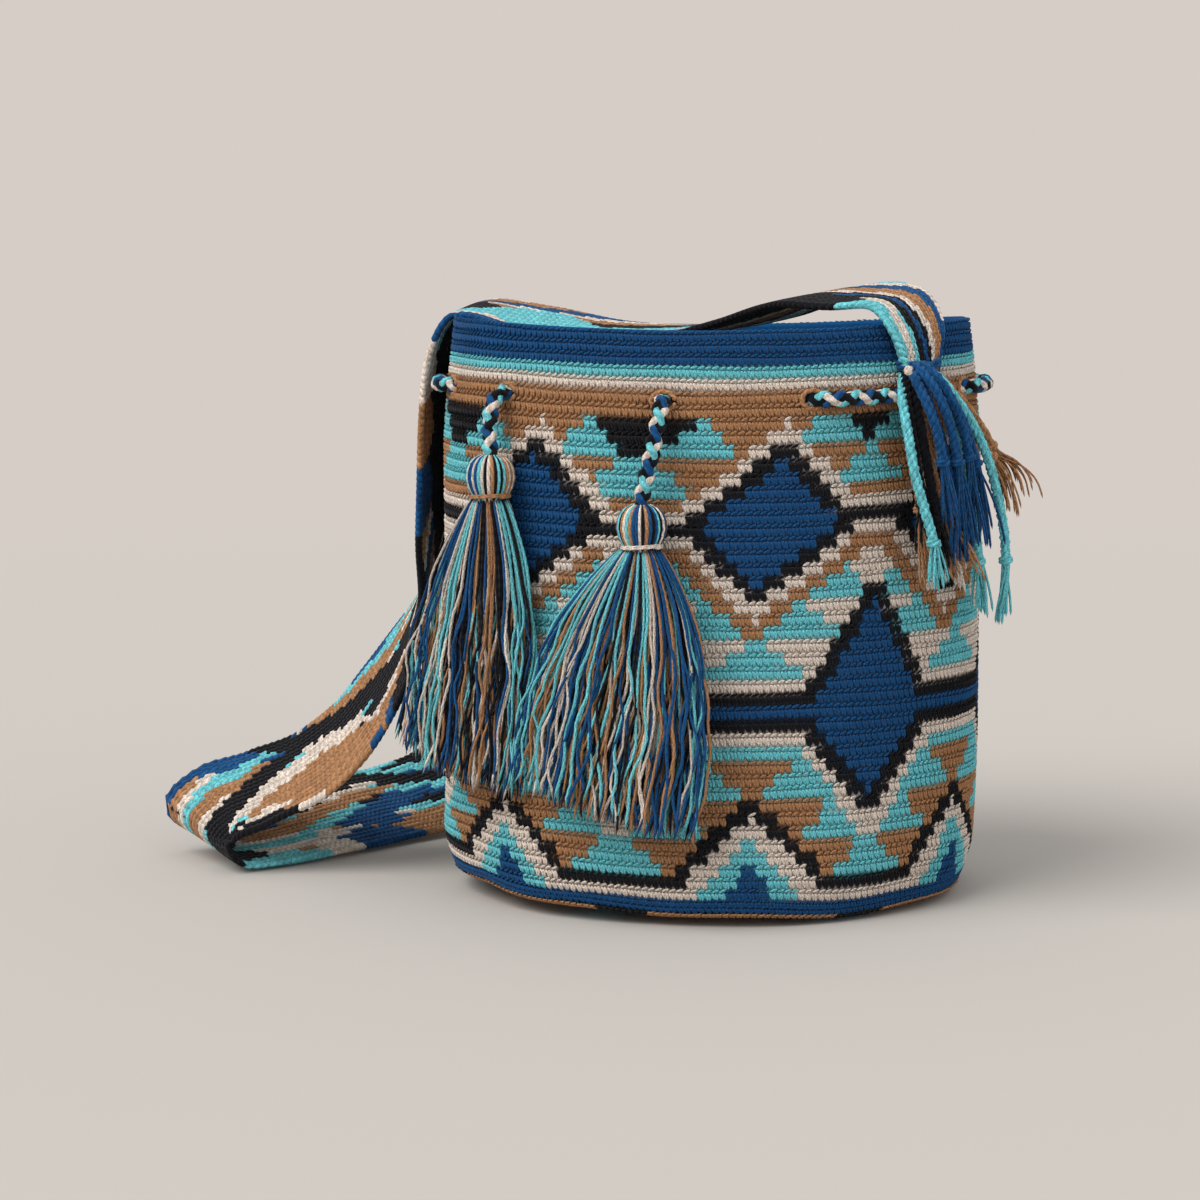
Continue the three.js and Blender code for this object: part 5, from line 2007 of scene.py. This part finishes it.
@dataclass
class Fringe:
    """The strap's own warps, left long past the stitching: twisted cords that fray at their tips."""

    form: BagForm
    shelf: YarnShelf
    seed: int = 21
    ply_radius: float = 1.3 * MM
    ply_offset: float = 1.3 * MM
    thread_radius: float = 0.56 * MM
    twist_pitch: float = 10.5 * MM
    knot_turns: float = 1.9
    knot_radius: float = 2.5 * MM

    def twisted(
        self, buffer: MeshBuffer, points: list, yarn: Yarn, frayed: float, spread: float, chance: Chance
    ) -> None:
        """Adds one twisted cord that opens into loose yarns.

        Args:
            buffer: where it goes.
            points: its control points.
            yarn: its colour.
            frayed: the share of its length that is loose.
            spread: how far the loose yarns stray, in metres.
            chance: the source of its unevenness.
        """
        yarns = list(Yarn)
        path = catmull(np.array(points, float), 8)
        length = path_length(path)
        line = resample(path, max(14, int(length / (2.1 * MM))))
        _, first, second = carried_frames(line)
        share = np.linspace(0.0, 1.0, len(line))
        run = share * length
        loose = smoothstep(share, 1.0 - frayed, 1.0)
        opened = int((1.0 - frayed) * len(line))
        tied = np.linspace(0.0, 2 * np.pi * self.knot_turns, 22)
        wrap = np.outer(np.cos(tied), first[opened]) + np.outer(np.sin(tied), second[opened])
        climb = np.outer(np.linspace(-1.0, 1.0, 22), line[opened + 1] - line[opened - 1]) * 0.3
        knot = line[opened] + wrap * self.knot_radius + climb
        buffer.add_tube(knot, 0.95 * MM, 6, chance.random(), yarns.index(yarn))
        for k in range(3):
            turn = run / self.twist_pitch * 2 * np.pi + k / 3 * 2 * np.pi
            offset = first * np.cos(turn)[:, None] + second * np.sin(turn)[:, None]
            strand = line + offset * self.ply_offset
            stop = min(len(line), opened + 3)
            radius = self.ply_radius * np.where(np.arange(stop) > stop - 3, 0.75, 1.0)
            buffer.add_tube(strand[:stop], radius, 6, chance.random(), yarns.index(yarn))
            for thread in range(5):
                begin = max(0, opened - 2)
                end = len(line) - int(chance.uniform(0.0, 0.3) * (len(line) - opened))
                if end - begin < 4:
                    continue
                stray = np.array([chance.normal(), 0.6 * chance.normal(), 0.3 * chance.normal()]) * spread
                spot = turn[begin] + (thread - 1.5) * 0.5
                root = first[begin] * math.cos(spot) + second[begin] * math.sin(spot)
                wave = np.sin(run / (16 * MM) + chance.uniform(0, 6)) * 0.7 * MM
                path = line + root * self.ply_offset * 1.15 + (loose[:, None] ** 0.6) * stray
                path = path + (loose * wave)[:, None] * second
                buffer.add_tube(path[begin:end], self.thread_radius, 4, chance.random(), yarns.index(yarn))

    def build(self) -> list[bpy.types.Object]:
        """Makes the cords of both ends.

        Returns:
            A piece for each end.
        """
        chance = np.random.default_rng(self.seed)
        yarns = list(Yarn)
        right = MeshBuffer()
        for cord in RIGHT_CORDS:
            places = [in_picture(*point) for point in cord.points]
            self.twisted(right, places, cord.yarn, cord.frayed, cord.spread, chance)
        left = MeshBuffer()
        angle = math.radians(StrapRoute.left_angle)
        out = self.form.outward(np.array(angle))
        along = self.form.along(np.array(angle))
        order = [Yarn.BLUE, Yarn.TAN, Yarn.TURQUOISE, Yarn.BLUE, Yarn.BLACK]
        order += [Yarn.TAN, Yarn.TURQUOISE, Yarn.BLUE, Yarn.CREAM]
        for i, yarn in enumerate(order):
            start = self.form.at(angle, 247 * MM, 7.6 * MM) + along * (i / (len(order) - 1) - 0.5) * 19 * MM
            reach = chance.uniform(70, 105)
            lean = 0.9 * (i / (len(order) - 1) - 0.4)
            points = [start + np.array([0, 0, 6 * MM])]
            for drop, away in ((1, 3.5), (8, 9), (20, 11.5), (reach * 0.5, 10), (reach * 0.75, 8), (reach, 6)):
                swing = lean * drop * 0.7
                points.append(start + (out * (away + 1.5 * (i % 2)) + along * swing - np.array([0, 0, drop])) * MM)
            self.twisted(left, points, yarn, 0.38, 5 * MM, chance)
        made = []
        for name, buffer in (("fringe_right", right), ("fringe_left", left)):
            piece = buffer.to_object(name, [self.shelf.of(yarn) for yarn in yarns])
            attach(piece, BODY)
            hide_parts("shoulder_strap")
            made.append(piece)
        return made


@dataclass
class EndStitch:
    """The yarn that sews an end of the strap to the bag, wound over the gathered weave."""

    form: BagForm
    shelf: YarnShelf
    degrees: float
    name: str

    def point(self, share: float, distance: float, height: float) -> np.ndarray:
        """A place across the gathered end, at a distance from the wall."""
        angle = math.radians(self.degrees)
        side = self.form.along(np.array(angle)) * share * 10.0 * MM
        return self.form.at(angle, height * MM, distance * MM) + side

    def knot(self, buffer: MeshBuffer, middle: np.ndarray, size: float, radius: float, slot: int) -> None:
        """Adds a small round knot of a few crossing turns."""
        for tilt, lean in ((0.2, 0.3), (1.3, -0.5), (2.3, 0.8), (0.8, 1.2)):
            around = np.linspace(0.0, 2 * np.pi * 0.96, 18)
            flat = np.column_stack([np.cos(around), np.zeros(18), np.sin(around)]) * size
            spun = flat @ np.array(Matrix.Rotation(tilt, 3, "Z")) @ np.array(Matrix.Rotation(lean, 3, "X"))
            buffer.add_tube(middle + spun, radius, 6, 0.3 + 0.2 * tilt, slot)

    def build(self) -> bpy.types.Object:
        """Makes the passes of yarn over the gathered end, and the knot that it is drawn into.

        Returns:
            The piece.
        """
        buffer = MeshBuffer()
        for k in range(2):
            height = 252.6 + k * 2.2
            points = [
                self.point(-0.98, 2.6, height),
                self.point(-0.98, 7.0, height),
                self.point(-0.8, 12.4, height - 0.5),
                self.point(-0.35, 13.2, height - 1.6 + 0.5 * k),
                self.point(0.1, 12.9, height - 0.8),
                self.point(0.75, 12.2, height + 1.2),
                self.point(0.98, 7.0, height + 1.0),
                self.point(0.98, 2.6, height),
            ]
            buffer.add_tube(catmull(np.array(points), 5), 1.15 * MM, 6, 0.3 + 0.15 * k, 1)
        self.knot(buffer, self.point(-0.42, 14.6, 251.2), 3.3 * MM, 1.5 * MM, 1)
        if self.name == "strap_stitch_right":
            self.knot(buffer, np.array(in_picture(908, 371, -99)), 1.4 * MM, 0.85 * MM, 0)
        yarns = [Yarn.CREAM, Yarn.BLUE]
        made = buffer.to_object(f"{self.name}_yarn", [self.shelf.of(yarn) for yarn in yarns])
        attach(made, BODY)
        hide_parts(self.name)
        return made


@dataclass
class Studio:
    """The pale floor, the soft light and the camera."""

    distance: float = 1.4
    eye_height: float = 0.289
    pitch: float = 0.108
    focal_px: float = 2950.0
    axis_px: float = 712.0
    frame_px: float = 1200.0
    floor_colour: tuple[float, float, float] = (0.570, 0.545, 0.522)
    background: tuple[float, float, float] = (0.672, 0.610, 0.568)

    def camera(self) -> bpy.types.Object:
        """Makes the camera: level with the mouth, looking a little down, the bag right of the middle.

        Returns:
            The camera.
        """
        lens = bpy.data.cameras.new("camera")
        lens.sensor_width = 36.0
        lens.lens = self.focal_px / self.frame_px * lens.sensor_width
        lens.shift_x = -(self.axis_px - self.frame_px / 2) / self.frame_px
        lens.clip_end = 50.0
        made = add_object("camera", lens)
        made.location = (0.0, -self.distance, self.eye_height)
        made.rotation_euler = (math.pi / 2 - self.pitch, 0.0, 0.0)
        bpy.context.scene.camera = made
        return made

    def floor(self) -> bpy.types.Object:
        """Makes the plain pale floor, which reaches as far as any view does.

        Returns:
            The floor.
        """
        reach = 60.0
        mesh = bpy.data.meshes.new("floor")
        corners = [(-reach, -reach, 0), (reach, -reach, 0), (reach, reach, 0), (-reach, reach, 0)]
        mesh.from_pydata(corners, [], [(0, 1, 2, 3)])
        material = bpy.data.materials.new("pale_paper")
        material.use_nodes = True
        shader = material.node_tree.nodes["Principled BSDF"]
        shader.inputs["Base Color"].default_value = (*self.floor_colour, 1.0)
        shader.inputs["Roughness"].default_value = 1.0
        shader.inputs["Specular IOR Level"].default_value = 0.0
        bench = NodeBench(material.node_tree)
        place = bench.add("ShaderNodeTexCoord")
        far = bench.add("ShaderNodeVectorMath", operation="LENGTH")
        bench.link(place.outputs["Object"], far.inputs[0])
        fade = bench.add("ShaderNodeMapRange", interpolation_type="SMOOTHSTEP")
        fade.inputs["From Min"].default_value = 0.5
        fade.inputs["From Max"].default_value = 3.2
        bench.link(far.outputs["Value"], fade.inputs["Value"])
        glow = bench.add("ShaderNodeEmission")
        glow.inputs["Color"].default_value = (*self.background, 1.0)
        mix = bench.add("ShaderNodeMixShader")
        bench.link(fade.outputs["Result"], mix.inputs[0])
        bench.link(shader.outputs[0], mix.inputs[1])
        bench.link(glow.outputs[0], mix.inputs[2])
        bench.link(mix.outputs[0], material.node_tree.nodes["Material Output"].inputs["Surface"])
        mesh.materials.append(material)
        made = add_object("floor", mesh)
        return made

    def sun(self, name: str, direction: tuple, power: float, softness: float, tint: tuple) -> None:
        """Makes a soft light that comes from a direction.

        Args:
            name: the light's name.
            direction: where it comes from.
            power: its strength.
            softness: its angle, in degrees.
            tint: its colour.
        """
        light = bpy.data.lights.new(name, "SUN")
        light.energy = power
        light.angle = math.radians(softness)
        light.color = tint
        made = add_object(name, light)
        made.rotation_euler = Vector(direction).to_track_quat("Z", "Y").to_euler()

    def light(self) -> None:
        """Lights the bag softly from above and in front, and gives the camera a pale background."""
        self.sun("key_light", (-0.70, -0.55, 1.0), 2.05, 44.0, (1.0, 0.97, 0.93))
        self.sun("fill_light", (0.9, -0.9, 0.7), 0.40, 70.0, (0.97, 0.98, 1.0))
        world = bpy.data.worlds.new("soft_room")
        world.use_nodes = True
        bench = NodeBench(world.node_tree)
        room = world.node_tree.nodes["Background"]
        room.inputs["Color"].default_value = (1.0, 0.975, 0.94, 1.0)
        room.inputs["Strength"].default_value = 0.60
        seen = bench.add("ShaderNodeBackground")
        seen.inputs["Color"].default_value = (*self.background, 1.0)
        ray = bench.add("ShaderNodeLightPath")
        direct = bench.math("MAXIMUM", ray.outputs["Is Camera Ray"], ray.outputs["Is Glossy Ray"])
        direct = bench.math("MAXIMUM", direct, ray.outputs["Is Transmission Ray"])
        mix = bench.add("ShaderNodeMixShader")
        bench.link(direct, mix.inputs[0])
        bench.link(room.outputs[0], mix.inputs[1])
        bench.link(seen.outputs[0], mix.inputs[2])
        bench.link(mix.outputs[0], world.node_tree.nodes["World Output"].inputs["Surface"])
        bpy.context.scene.world = world
        bpy.context.scene.view_settings.view_transform = "Standard"


def report(*pieces: bpy.types.Object) -> None:
    """Logs the name and the number of faces of each piece."""
    for piece in pieces:
        log.info("%s: %d faces", piece.name, len(piece.data.polygons))


def main() -> None:
    """Builds the camera, the cords and the rest, in that order."""
    logging.basicConfig(level=logging.INFO)
    studio = Studio()
    studio.camera()
    form = BagForm()
    yarns = YarnShelf("yarn", ply_pitch=4.2 * MM)
    hanging = []
    for shape in (LEFT_TASSEL, RIGHT_TASSEL):
        tassel = Tassel(form, shape, yarns)
        hanging.extend([tassel.build(), tassel.build_binding()])
        report(*hanging[-2:])
    Drawstring(form, yarns).build(hanging)
    sewn = Fringe(form, yarns).build()
    ends = ((StrapRoute.right_angle, "strap_stitch_right"), (StrapRoute.left_angle, "strap_stitch_left"))
    for degrees, name in ends:
        sewn.append(EndStitch(form, yarns, degrees, name).build())
    report(*sewn)
    Strap(StrapRoute(form), YarnShelf("strap", ply_pitch=3.0 * MM)).build(sewn)
    Crochet(form, Pattern(), YarnShelf("crochet"), stitch_tree()).build()
    studio.floor()
    studio.light()


if __name__ == "__main__":
    main()
